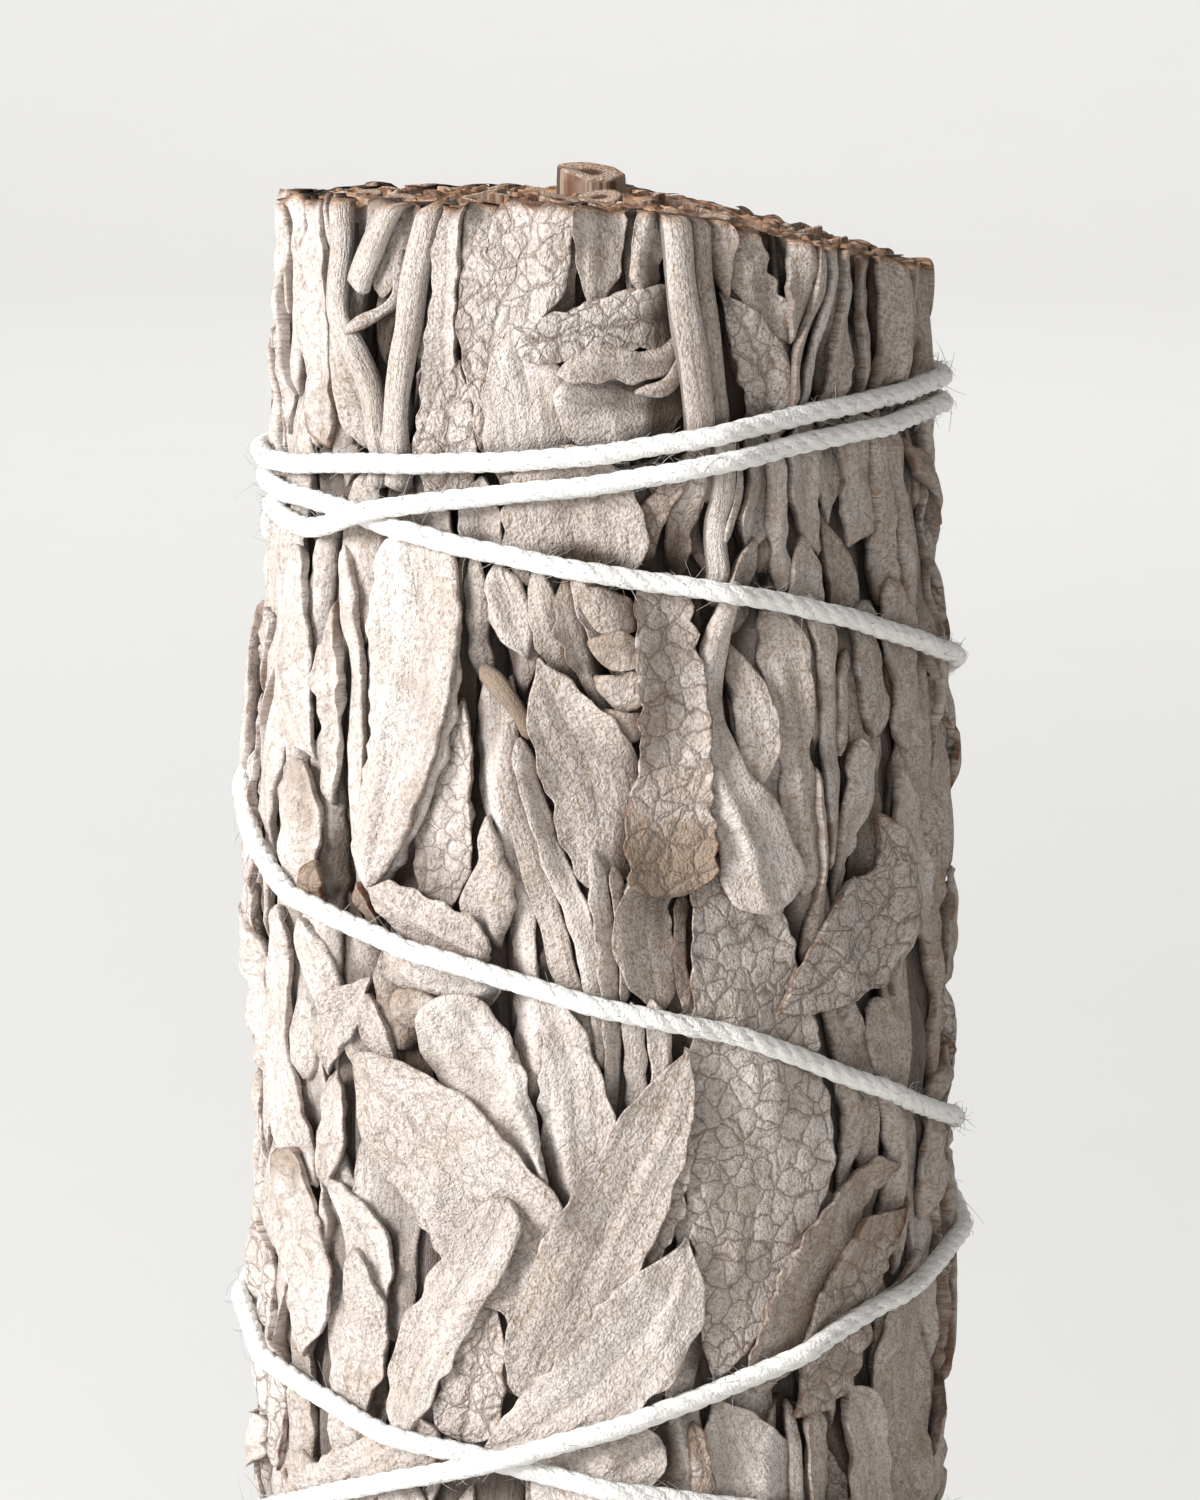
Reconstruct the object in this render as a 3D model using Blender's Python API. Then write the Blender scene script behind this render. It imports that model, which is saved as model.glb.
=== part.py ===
"""A bunch of dried white sage, wound with cotton string and standing on its cut ends.

Twelve outer sprigs and five inner ones make the bunch. Each is a core of pressed stems with leaves
and stems fused to it, and every leaf lies on what is beneath it. Angles are measured about the
bunch's axis from the front, which faces -Y, and grow towards +X.
"""
import math
import random

import bmesh
import bpy
import numpy as np

MM = 0.001

# Driving dimensions, in millimetres and degrees
HEIGHT = 100.0
TOP_RADIUS = 17.5
BODY_RADIUS = 19.1
FOOT_RADIUS = 18.3
NECK = 8.0
SHOULDER = 24.0
FOOT_TAPER = 30.0
CORE_DEPTH = 3.1
CORE_BULGE = 0.5
TOP_RECESS = 1.2
CUT_SLOPE = 0.26
CUT_START = 3.0
CUT_ROUND = 3.0
CUT_BACK_SLOPE = 0.02
INNER_RADIUS = 8.5
CENTRE_RADIUS = 3.4
OUTER_SPRIGS = 12
INNER_SPRIGS = 4
CORE_STEP = 10.0
GAP = 0.3
CLEARANCE = 0.25
ROOT_SINK = 0.5
ROOT_LENGTH = 1.6
ROOT_WIDTH = 1.4
TIP_WIDTH = 0.8
BLADE_STEP = 3.9
CRENATION = 0.05
STRING_DIAMETER = 1.2
STRING_STEP = 5.0
KNOT_RADII = (2.0, 1.3, 1.6)
KNOT_END = 0.9
TAIL_LENGTH = 7.0
TAIL_SPREAD = 13.0
SEAM_WAVER = 3.0
SEAM_WAVE = 16.0
STEM_SINK = 2.0
LEAF_SINK = 1.5
LEAF_BOW = 0.12
BACK_STEM_RISE = 1.1

# Thickness at the middle and at the edges of each kind of piece
THICKNESS = {"leaf": (0.8, 0.6), "band": (0.95, 0.65), "stem": (1.35, 0.75)}

# Sawn ends on the cores: angle from the sprig's middle, distance from the axis and thickness of each
# stem; angle, distance, length and turn of each leaf
OUTER_CUT_STEM = (0, 12.2, 1.7)
OUTER_CUT_LEAF = (0, 10.1, 3.4, 0)
CENTRE_CUT_STEM = (0, 0, 2.4)
CENTRE_CUT_LEAF = (200, 2.3, 2.4, 10)
INNER_CUT_STEMS = [(-18, 6.4, 2.2), (24, 5.6, 1.5)]
BACK_CUT_STEMS = [(4, 6.4, 3.4), (-28, 5.8, 1.5)]
INNER_CUT_LEAF = (6, 4.6, 2.6, 20)

# The leaves and stems that show at the front, from the inside out:
# kind, then angle, height and width along the piece, from its root to its tip
FRONT_PIECES = [
    ("band", [(-62, 86.0, 1.6), (-66, 92.0, 1.9), (-68, 96.0, 1.9), (-71, 99.8, 1.6)]),
    ("leaf", [(-54, 86.5, 1.6), (-58, 90.5, 2.6), (-60, 95.0, 2.4), (-60, 99.6, 1.6)]),
    ("stem", [(-42, 86.5, 1.4), (-46, 91.5, 1.5), (-52, 96.0, 1.5), (-54, 100.0, 1.5)]),
    ("stem", [(-37, 86.5, 1.5), (-36, 91.5, 1.6), (-34, 96.0, 1.8), (-31, 99.9, 1.8)]),
    ("leaf", [(-28, 85.0, 1.4), (-26, 88.0, 3.3), (-25, 90.5, 2.0), (-25, 92.0, 0.8)]),
    ("leaf", [(-21, 87.0, 1.2), (-19, 92.0, 3.4), (-14, 97.0, 5.9), (-11, 99.6, 4.6)]),
    ("leaf", [(0, 94.0, 1.4), (0, 97.0, 3.0), (0, 99.5, 3.2)]),
    ("stem", [(19, 86.0, 1.5), (16, 91.0, 1.6), (13, 95.0, 1.6), (12, 98.8, 1.6)]),
    ("stem", [(22, 87.0, 1.3), (19, 92.0, 1.3), (17, 96.0, 1.3), (16, 99.0, 1.3)]),
    ("leaf", [(36, 92.5, 1.2), (31, 94.5, 2.2), (27, 96.5, 2.6), (25, 98.8, 1.9)]),
    ("leaf", [(22, 95.0, 1.2), (27, 93.0, 2.8), (31, 90.5, 3.4), (31, 88.5, 2.2)]),
    ("band", [(35, 90.5, 1.3), (38, 93.0, 1.9), (41, 95.5, 1.9), (43, 97.4, 1.8)]),
    ("band", [(44, 88.5, 1.5), (47, 92.0, 1.9), (49, 95.0, 1.9), (50, 97.0, 1.9)]),
    ("leaf", [(59, 88.5, 1.5), (62, 92.0, 2.4), (62, 96.5, 2.2)]),
    ("leaf", [(-13, 85.0, 1.6), (-12, 88.5, 5.5), (-13, 91.5, 4.4), (-15, 93.6, 1.2)]),
    ("leaf", [(15, 90.3, 1.4), (10, 90.2, 3.7), (2, 90.2, 4.1), (-6, 90.4, 2.4)]),
    ("leaf", [(11, 94.0, 1.4), (7, 94.0, 2.6), (0, 94.2, 3.5), (-8, 93.8, 2.4), (-15, 93.7, 0.8)]),
    ("leaf", [(50, 88.0, 1.6), (51, 85.0, 3.2), (49, 82.5, 1.2)]),
    ("leaf", [(39, 88.0, 1.6), (38, 85.5, 3.0), (40, 82.4, 0.9)]),
    ("leaf", [(27, 88.0, 1.5), (29, 85.5, 2.4), (27, 82.7, 1.0)]),
    ("stem", [(20, 79.0, 1.3), (20, 83.0, 1.3), (21, 87.2, 1.3)]),
    ("leaf", [(15, 87.0, 1.0), (10, 84.5, 1.9), (7, 82.0, 2.1), (8, 79.5, 1.4)]),
    ("leaf", [(-5, 87.0, 2.6), (-5, 84.5, 8.0), (-4, 81.5, 7.4), (-4, 79.6, 3.6)]),
    ("leaf", [(36, 82.5, 1.6), (37, 79.5, 2.4), (38, 76.0, 1.6), (39, 72.5, 0.9)]),
    ("leaf", [(-62, 81.5, 1.8), (-62, 77.5, 3.5), (-59, 73.5, 3.2), (-55, 71.5, 0.9)]),
    ("band", [(-43, 64.0, 1.4), (-44, 70.0, 1.4), (-45, 76.0, 1.4), (-48, 81.5, 1.4)]),
    ("band", [(-2, 47.5, 1.5), (-6, 52.0, 2.1), (-11, 57.5, 1.9), (-14, 63.0, 1.6), (-16, 68.0, 1.8),
              (-18, 72.5, 1.9), (-19, 76.0, 1.3)]),
    ("band", [(0, 56.0, 1.3), (-3, 59.0, 1.4), (-8, 64.0, 1.5), (-11, 68.0, 1.4), (-14, 72.0, 1.2)]),
    ("leaf", [(-27, 64.0, 1.6), (-26, 67.0, 3.5), (-24, 71.0, 2.4), (-23, 74.5, 0.9)]),
    ("leaf", [(-18, 81.5, 1.6), (-15, 79.5, 2.6), (-12, 77.3, 1.1)]),
    ("band", [(-11, 81.0, 1.6), (-7, 78.0, 2.1), (-2, 75.5, 1.9), (5, 73.2, 1.2)]),
    ("leaf", [(-40, 64.5, 1.4), (-37, 68.5, 3.4), (-33, 73.0, 5.2), (-32, 78.0, 5.7), (-34, 82.6, 4.4)]),
    ("leaf", [(-10, 77.5, 1.4), (-6, 74.5, 3.7), (-1, 71.0, 5.1), (1, 68.0, 4.7), (1, 65.8, 2.2)]),
    ("leaf", [(10, 59.0, 1.3), (8, 61.5, 2.8), (7, 64.0, 3.2), (8, 66.2, 2.4)]),
    ("leaf", [(10, 81.0, 1.8), (11, 77.0, 3.6), (12, 72.5, 4.0), (12, 68.5, 4.8), (12, 65.6, 4.4)]),
    ("band", [(30, 79.8, 1.5), (32, 76.0, 2.7), (33, 72.0, 2.2), (34, 69.0, 2.3), (35, 65.3, 1.7)]),
    ("band", [(40, 79.5, 1.4), (41, 75.5, 1.5), (42, 71.5, 1.4), (41, 66.8, 1.1)]),
    ("leaf", [(46, 72.0, 1.4), (47, 70.0, 2.3), (44, 67.0, 1.5), (42, 64.5, 0.9)]),
    ("leaf", [(57, 70.5, 1.5), (61, 66.0, 3.2), (66, 62.5, 2.4), (69, 61.0, 0.9)]),
    ("leaf", [(24, 66.0, 1.6), (24, 62.5, 5.8), (24, 59.5, 5.0), (24, 57.0, 1.6)]),
    ("stem", [(22, 80.5, 1.4), (19, 77.5, 1.6), (18, 74.5, 1.6), (21, 71.0, 1.9), (25, 68.0, 3.4),
              (27, 65.3, 3.6)]),
    ("leaf", [(-41, 60.5, 1.4), (-46, 58.5, 2.6), (-50, 56.8, 2.0), (-52, 55.1, 0.9)]),
    ("leaf", [(-66, 62.5, 1.8), (-65, 57.0, 3.2), (-62, 52.0, 3.2), (-55, 49.0, 1.2)]),
    ("leaf", [(-60, 49.5, 2.0), (-58, 46.5, 4.2), (-55, 43.0, 3.2), (-58, 40.0, 1.1)]),
    ("leaf", [(-26, 59.0, 1.8), (-21, 56.5, 5.2), (-15, 53.5, 3.4), (-11, 51.0, 1.7), (-8, 49.0, 0.9)]),
    ("leaf", [(-37, 65.0, 1.4), (-31, 64.0, 2.7), (-24, 63.0, 3.0), (-19, 62.4, 1.2)]),
    ("leaf", [(-39, 61.8, 1.3), (-32, 60.8, 2.4), (-24, 60.2, 2.4), (-17, 61.0, 0.9)]),
    ("leaf", [(-9, 60.0, 1.4), (-5, 57.0, 2.8), (-4, 54.0, 4.0), (-4, 51.0, 3.6), (-2, 48.5, 1.1)]),
    ("leaf", [(57, 54.5, 1.6), (53, 56.5, 3.2), (51, 58.5, 2.0)]),
    ("band", [(50, 44.0, 1.4), (56, 47.5, 1.4), (56, 51.0, 1.4), (51, 54.5, 1.3)]),
    ("leaf", [(-42, 46.0, 1.6), (-41, 42.5, 3.2), (-42, 39.5, 2.7), (-43, 37.5, 0.9)]),
    ("leaf", [(-18, 44.0, 1.4), (-21, 40.5, 3.7), (-23, 37.0, 3.2)]),
    ("leaf", [(65, 44.0, 1.8), (60, 40.5, 4.8), (59, 36.5, 5.4), (62, 33.0, 3.0)]),
    ("leaf", [(45, 38.0, 1.8), (48, 36.0, 3.2), (50, 32.5, 3.0)]),
    ("leaf", [(19, 38.5, 1.4), (22, 36.5, 4.5), (26, 33.0, 4.0)]),
    ("leaf", [(9, 37.0, 1.8), (0, 35.5, 4.6), (-9, 34.4, 2.6)]),
    ("leaf", [(-29, 37.0, 1.8), (-40, 34.7, 3.4), (-54, 32.4, 2.2)]),
    ("leaf", [(46, 49.0, 1.4), (39, 46.4, 3.2), (33, 43.1, 3.4), (26, 39.9, 1.8)]),
    ("leaf", [(53, 48.7, 1.4), (47, 44.9, 4.5), (43, 41.5, 5.0), (38, 38.8, 1.8)]),
    ("leaf", [(-42, 56.0, 1.6), (-34, 54.0, 5.2), (-23, 50.7, 7.2), (-15, 46.8, 6.8), (-12, 44.0, 3.0)]),
    ("leaf", [(26, 60.0, 2.0), (26, 56.0, 7.6), (27, 52.2, 8.6), (26, 48.6, 7.8), (23, 44.5, 4.9),
              (19, 40.6, 1.6)]),
    ("leaf", [(50, 68.4, 1.4), (55, 65.6, 3.3), (52, 63.4, 6.0), (44, 61.9, 5.6), (37, 60.3, 3.5),
              (31, 59.2, 0.9)]),
    ("leaf", [(-33, 37.0, 1.4), (-32, 39.8, 3.2), (-26, 43.4, 3.9), (-19, 46.6, 3.3), (-15, 49.2, 1.5)]),
    ("leaf", [(14, 57.0, 1.4), (8, 53.1, 3.7), (1, 48.5, 5.0), (-6, 43.8, 4.8), (-13, 40.2, 1.6)]),
    ("leaf", [(14, 47.4, 1.4), (10, 44.4, 4.6), (1, 40.9, 5.0), (-11, 37.9, 3.0), (-19, 36.4, 0.9)]),
]

# The string's route: angle, counted on from turn to turn, and height
STRING_ROUTE = [
    (-177, 88.6), (-135, 87.3), (-90, 85.9), (-67, 86.1), (-44, 86.7), (-15, 87.2), (0, 87.6),
    (15, 88.3), (32, 89.1), (68, 89.9), (90, 90.2), (135, 89.2), (180, 87.0), (225, 85.2),
    (270, 84.6), (288, 84.6), (304, 84.4), (318, 84.0), (341, 82.7), (360, 81.7), (383, 80.5),
    (402, 79.0), (431, 76.3), (450, 74.8), (495, 73.4), (540, 72.9), (585, 72.2), (612, 70.6),
    (630, 68.4), (647, 65.9), (657, 65.1), (680, 63.2), (702, 61.5), (720, 59.9), (743, 58.0),
    (762, 55.4), (786, 52.3), (810, 50.2), (855, 46.8), (900, 43.8), (945, 41.8), (990, 40.4),
    (1016, 38.6), (1039, 37.3), (1061, 36.3), (1083, 34.9), (1105, 33.4), (1130, 31.4),
    (1170, 28.0), (1215, 24.5), (1260, 21.0), (1305, 18.0), (1350, 15.8), (1395, 14.6),
    (1440, 14.2), (1485, 14.4), (1530, 15.6), (1575, 18.0), (1620, 21.3), (1665, 24.8),
    (1710, 28.3), (1744, 32.0), (1759, 33.8), (1781, 36.1), (1800, 38.0), (1823, 40.2),
    (1843, 42.6), (1868, 44.9), (1890, 45.8), (1935, 51.4), (1980, 61.5), (2025, 73.0),
    (2052, 80.4), (2070, 83.2), (2088, 83.4), (2104, 83.1), (2115, 83.9), (2123, 84.6),
    (2133, 85.1), (2145, 85.6), (2160, 86.1), (2175, 86.9), (2192, 87.7), (2228, 88.5),
    (2250, 88.8), (2295, 87.9), (2337, 88.6),
]

# The grid on which the bunch's surface is kept while leaves are laid on it
COLUMNS = 288
ROWS = 275
ROW_HEIGHT = 0.4
LOWEST_ROW = -3.0
FOOT_CLEARANCE = 0.6
CORE_LATTICE = 32
BLADE_LATTICE = 12
RAISE_ROUNDS = 14
HIGHEST_RISE = 1.7
NARROW_ROUNDS = 6
ROOT_SEARCH = 3.0
ROOT_SEARCH_STEP = 0.5
BACK_STEMS = 9
BACK_LEAVES = 28
FOOT_LEAVES = 8
SEED = 7


def body_radius(height):
    """The bunch's outer radius: narrow at the cut top, full below, a little narrower at the foot."""
    below_neck = min(max((HEIGHT - NECK - height) / SHOULDER, 0.0), 1.0)
    above_foot = min(max(height / FOOT_TAPER, 0.0), 1.0)
    swell = below_neck * below_neck * (3 - 2 * below_neck)
    foot = (1 - above_foot) ** 2
    return TOP_RADIUS + (BODY_RADIUS - TOP_RADIUS) * swell - (BODY_RADIUS - FOOT_RADIUS) * foot


def cut_height(x, y):
    """The sawn top is level on the left, slopes down on the right and is a little lower behind."""
    past = x - CUT_START
    slope = CUT_SLOPE / 2 * (past + math.hypot(past, CUT_ROUND))
    return HEIGHT - slope - CUT_BACK_SLOPE * (y + TOP_RADIUS)


def place(angle, radius, height):
    turn = math.radians(angle)
    return (radius * math.sin(turn), -radius * math.cos(turn), height)


def new_object(name, mesh_data, collection):
    item = bpy.data.objects.new(name, mesh_data)
    collection.objects.link(item)
    return item


def solid(name, points, faces, collection):
    """A closed mesh from points in millimetres, with its faces turned outwards."""
    mesh = bpy.data.meshes.new(name)
    mesh.from_pydata([[c * MM for c in point] for point in points], [], faces)
    shape = bmesh.new()
    shape.from_mesh(mesh)
    bmesh.ops.recalc_face_normals(shape, faces=shape.faces)
    shape.to_mesh(mesh)
    shape.free()
    return new_object(name, mesh, collection)


def loft(name, rings, collection):
    """A solid through rings of points with the same count, triangles along its sides."""
    count = len(rings[0])
    points = [point for ring in rings for point in ring]
    faces = [list(range(count)), [len(points) - count + i for i in range(count)]]
    for ring in range(len(rings) - 1):
        for i in range(count):
            a = ring * count + i
            b = ring * count + (i + 1) % count
            faces.append([a, b, b + count])
            faces.append([a, b + count, a + count])
    return solid(name, points, faces, collection)


class Surface:
    """The bunch's outermost radius on a grid of angle and height, and the sprig that it belongs to."""

    def __init__(self):
        heights = LOWEST_ROW + ROW_HEIGHT * np.arange(ROWS)
        base = np.array([body_radius(min(max(h, 0.0), HEIGHT)) - CORE_DEPTH for h in heights])
        self.reach = np.tile(base, (COLUMNS, 1))
        self.owner = np.full((COLUMNS, ROWS), -1)

    def cells(self, points):
        angle = np.degrees(np.arctan2(points[:, 0], -points[:, 1])) % 360
        column = np.minimum((angle / 360 * COLUMNS).astype(int), COLUMNS - 1)
        row = np.clip(((points[:, 2] - LOWEST_ROW) / ROW_HEIGHT).astype(int), 0, ROWS - 1)
        return column, row, np.hypot(points[:, 0], points[:, 1])

    def add(self, corners, sprig, lattice):
        column, row, radius = self.cells(sample(corners, lattice).reshape(-1, 3))
        np.maximum.at(self.reach, (column, row), radius)
        top = radius >= self.reach[column, row] - 1e-6
        self.owner[column[top], row[top]] = sprig

    def widened(self, field):
        wide = field.copy()
        for axis in (0, 1):
            wide = np.maximum(wide, np.maximum(np.roll(wide, 1, axis), np.roll(wide, -1, axis)))
        return wide

    def everything(self):
        return self.widened(self.reach)

    def of_others(self, sprig):
        return self.widened(np.where(self.owner == sprig, 0.0, self.reach))


def sample(corners, lattice):
    """Points spread evenly over each triangle."""
    weights = lattice_weights(lattice)
    return np.einsum("kw,twc->tkc", weights, corners)


def lattice_weights(lattice):
    steps = [(i, j) for i in range(lattice + 1) for j in range(lattice + 1 - i)]
    return np.array([(i, j, lattice - i - j) for i, j in steps]) / lattice


def smooth_track(points, step):
    """Reads a smooth curve through the given points at even steps of its length."""
    points = np.array(points, dtype=float)
    gaps = np.hypot(*np.diff(points[:, :2], axis=0).T)
    knots = np.concatenate([[0.0], np.cumsum(gaps)])
    slopes = np.gradient(points, knots, axis=0)
    count = max(3, int(round(knots[-1] / step)) + 1)
    at = np.linspace(0, knots[-1], count)
    piece = np.clip(np.searchsorted(knots, at, side="right") - 1, 0, len(knots) - 2)
    span = (knots[piece + 1] - knots[piece])[:, None]
    t = ((at - knots[piece])[:, None]) / span
    start = (1 + 2 * t) * (1 - t) ** 2 * points[piece] + t * (1 - t) ** 2 * span * slopes[piece]
    end = t * t * (3 - 2 * t) * points[piece + 1] + t * t * (t - 1) * span * slopes[piece + 1]
    return start + end


class Blade:
    """A leaf or stem: two faces of three rows of points, split into triangles alike."""

    def __init__(self, kind, waypoints, shift=(0.0, 0.0)):
        middle, edge = THICKNESS[kind]
        unrolled = [(math.radians(a) * BODY_RADIUS + shift[0], h + shift[1], w) for a, h, w in waypoints]
        track = smooth_track(unrolled, BLADE_STEP)
        root = self.root_station(track)
        track = np.vstack([track[:1], root, track[1:]])
        self.count = len(track)
        tangent = np.gradient(track[:, :2], axis=0)
        tangent /= np.linalg.norm(tangent, axis=1)[:, None]
        side = np.stack([-tangent[:, 1], tangent[:, 0]], axis=1)
        half = np.maximum(track[:, 2], TIP_WIDTH) / 2
        half[:2] = ROOT_WIDTH / 2
        half[2:-1] *= 1 + CRENATION * np.where(np.arange(self.count - 3) % 2, 1, -1)
        self.flat = self.spread(track, side, half)
        for _ in range(NARROW_ROUNDS):
            if self.is_open():
                break
            half[2:] *= 0.9
            self.flat = self.spread(track, side, half)
        self.thick = np.tile([edge, middle, edge], (self.count, 1))
        self.low = np.zeros((self.count, 3))
        grid = np.arange(self.count * 3).reshape(-1, 3)
        a, b, c, d = grid[:-1, :-1], grid[:-1, 1:], grid[1:, 1:], grid[1:, :-1]
        upper = np.stack([a, b, c], axis=-1)
        lower = np.stack([a, c, d], axis=-1)
        self.triangles = np.stack([upper, lower], axis=-2).reshape(-1, 3)

    def root_station(self, track):
        way = track[1, :2] - track[0, :2]
        way = way / np.linalg.norm(way) * ROOT_LENGTH
        return np.array([[track[0, 0] + way[0], track[0, 1] + way[1], ROOT_WIDTH]])

    def spread(self, track, side, half):
        flat = np.stack([track[:, :2] + side * offset * half[:, None] for offset in (-1, 0, 1)], axis=1)
        flat[..., 1] = np.maximum(flat[..., 1], FOOT_CLEARANCE)
        for point in flat.reshape(-1, 2):
            x, y, _ = place(math.degrees(point[0] / BODY_RADIUS), body_radius(point[1]), 0)
            point[1] = min(point[1], cut_height(x, y))
        return flat

    def is_open(self):
        """Whether no part of the outline folds back over itself."""
        a, b, c, d = self.flat[:-1, :-1], self.flat[:-1, 1:], self.flat[1:, 1:], self.flat[1:, :-1]
        turns = [np.cross(b - a, c - a), np.cross(c - a, d - a)]
        return all((turn < -0.02).all() or (turn > 0.02).all() for turn in turns)

    def corners(self, radius):
        turn = self.flat[..., 0] / BODY_RADIUS
        points = np.stack([radius * np.sin(turn), -radius * np.cos(turn), self.flat[..., 1]], axis=-1)
        return points.reshape(-1, 3)

    def root_cell(self, surface):
        turn = self.flat[0, 1, 0] / BODY_RADIUS
        point = np.array([[math.sin(turn), -math.cos(turn), self.flat[0, 1, 1]]])
        column, row, _ = surface.cells(point)
        return column[0], row[0]

    def drape(self, surface):
        """Sinks the root in the sprig that shows there, and raises the rest until it is clear."""
        column, row = self.root_cell(surface)
        sprig = surface.owner[column, row]
        if sprig < 0 or not self.is_open():
            return None
        everything = surface.everything()
        others = surface.of_others(sprig)
        at = surface.cells(self.corners(np.ones((self.count, 3))))[:2]
        self.low = everything[at].reshape(-1, 3) + CLEARANCE
        self.low[:2] = surface.reach[column, row] - ROOT_SINK
        highest = self.low + HIGHEST_RISE
        weights = lattice_weights(BLADE_LATTICE)
        stations = self.triangles // 3
        rooted = (stations.min(axis=1) < 2)[:, None]
        for _ in range(RAISE_ROUNDS):
            points = sample(self.corners(self.low)[self.triangles], BLADE_LATTICE)
            column, row, radius = surface.cells(points.reshape(-1, 3))
            shape = points.shape[:2]
            below = np.where(rooted, others[column, row].reshape(shape), everything[column, row].reshape(shape))
            short = below + CLEARANCE - radius.reshape(shape)
            if short.max() <= 0.01:
                return sprig if (self.low <= highest).all() else None
            lift = np.maximum(short, 0)[..., None] * weights / (weights ** 2).sum(axis=1)[:, None]
            rise = np.zeros(self.count * 3)
            np.maximum.at(rise, self.triangles, lift.max(axis=1))
            rise = rise.reshape(-1, 3)
            rise[:2] = 0
            self.low += rise
        return None

    def build(self, name, collection):
        lower = self.corners(self.low)
        upper = self.corners(self.low + self.thick)
        points = np.vstack([lower, upper]).tolist()
        shift = len(lower)
        faces = [tri[::-1].tolist() for tri in self.triangles]
        faces += [(tri + shift).tolist() for tri in self.triangles]
        for i in range(self.count - 1):
            for column in (0, 2):
                a = i * 3 + column
                faces.append([a, a + 3, a + 3 + shift, a + shift])
        for i in (0, self.count - 1):
            for column in (0, 1):
                a = i * 3 + column
                faces.append([a, a + 1, a + 1 + shift, a + shift])
        return solid(name, points, faces, collection)

    def upper_corners(self):
        return self.corners(self.low + self.thick)[self.triangles]


def lay(surface, kind, waypoints, pieces, collection):
    """Lays one leaf or stem, moving its root a little where the spot belongs to two sprigs.

    A piece that fits nowhere near its place isn't laid.
    """
    steps = np.arange(-ROOT_SEARCH, ROOT_SEARCH + 0.01, ROOT_SEARCH_STEP)
    shifts = sorted(((du, dv) for du in steps for dv in steps), key=lambda s: math.hypot(*s))
    for shift in shifts:
        blade = Blade(kind, waypoints, shift)
        sprig = blade.drape(surface)
        if sprig is not None:
            surface.add(blade.upper_corners(), sprig, BLADE_LATTICE)
            pieces[sprig].append(blade.build("leaf", collection))
            return


def sprig_edge(index, height):
    """The angle of the seam before an outer sprig, which wavers as the stems do."""
    pitch = 360 / OUTER_SPRIGS
    return (index - 0.5) * pitch + SEAM_WAVER * math.sin(height / SEAM_WAVE + index * 2.1)


def outer_core(index, collection):
    """An outer sprig's pressed stems, which bulge in the middle, so grooves run between the sprigs."""
    rings = []
    heights = [CORE_STEP * i for i in range(int(HEIGHT / CORE_STEP))] + [None]
    for level in heights:
        height = level if level is not None else HEIGHT
        first = sprig_edge(index, height)
        last = sprig_edge((index + 1) % OUTER_SPRIGS, height) + (360 if index == OUTER_SPRIGS - 1 else 0)
        ring = []
        for part in (0.0, 0.25, 0.5, 0.75, 1.0):
            bulge = CORE_BULGE * (1 - 2 * (2 * part - 1) ** 2)
            radius = body_radius(height) - CORE_DEPTH + bulge
            inset = math.degrees(GAP / 2 / radius) * (1 - 2 * part)
            ring.append((first + (last - first) * part + inset, radius))
        for part in (1.0, 0.5, 0.0):
            inset = math.degrees(GAP / 2 / INNER_RADIUS) * (1 - 2 * part)
            ring.append((first + (last - first) * part + inset, INNER_RADIUS + GAP / 4))
        rings.append([])
        for angle, radius in ring:
            x, y, _ = place(angle, radius, 0)
            rings[-1].append((x, y, level if level is not None else cut_height(x, y) - TOP_RECESS))
    return loft("core", rings, collection)


def inner_core(index, collection):
    pitch = 360 / INNER_SPRIGS
    outer = INNER_RADIUS - GAP / 2
    inner = CENTRE_RADIUS + GAP
    ring = []
    for part in np.linspace(0, 1, 7):
        inset = math.degrees(GAP / 2 / outer) * (1 - 2 * part)
        ring.append(place((index - 0.5 + part) * pitch + inset, outer, 0)[:2])
    for part in np.linspace(1, 0, 5):
        inset = math.degrees(GAP / 2 / inner) * (1 - 2 * part)
        ring.append(place((index - 0.5 + part) * pitch + inset, inner + GAP / 4, 0)[:2])
    return column_of(ring, collection)


def centre_core(collection):
    return column_of([place(angle, CENTRE_RADIUS, 0)[:2] for angle in range(0, 360, 30)], collection)


def column_of(ring, collection):
    base = [(x, y, 0.0) for x, y in ring]
    top = [(x, y, cut_height(x, y) - TOP_RECESS) for x, y in ring]
    return loft("core", [base, top], collection)


def cut_stem(middle, stem, rise, collection):
    """The sawn end of a stem, which stands out of the core's recessed top."""
    angle, radius, thickness = stem
    x, y, _ = place(middle + angle, radius, 0)
    ring = [(x + thickness / 2 * math.cos(math.radians(a)), y + thickness / 2 * math.sin(math.radians(a)))
            for a in range(0, 360, 60)]
    base = [(px, py, cut_height(px, py) - TOP_RECESS - STEM_SINK) for px, py in ring]
    top = [(px, py, cut_height(px, py) + rise) for px, py in ring]
    return loft("stem", [base, top], collection)


def cut_leaf(middle, leaf, collection):
    """The sawn edge of a leaf on the core's top: a short curved wall."""
    angle, radius, length, turn = leaf
    x, y, _ = place(middle + angle, radius, 0)
    way = math.radians(middle + angle + turn)
    ring = []
    for side in (-1, 1):
        for part in (-1, 0, 1) if side < 0 else (1, 0, -1):
            along = part * length / 2
            across = side * THICKNESS["leaf"][1] / 2 + LEAF_BOW * length * (1 - abs(part))
            ring.append((x + along * math.cos(way) - across * math.sin(way),
                         y + along * math.sin(way) + across * math.cos(way)))
    base = [(px, py, cut_height(px, py) - TOP_RECESS - LEAF_SINK) for px, py in ring]
    top = [(px, py, cut_height(px, py)) for px, py in ring]
    return loft("leaf", [base, top], collection)


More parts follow.
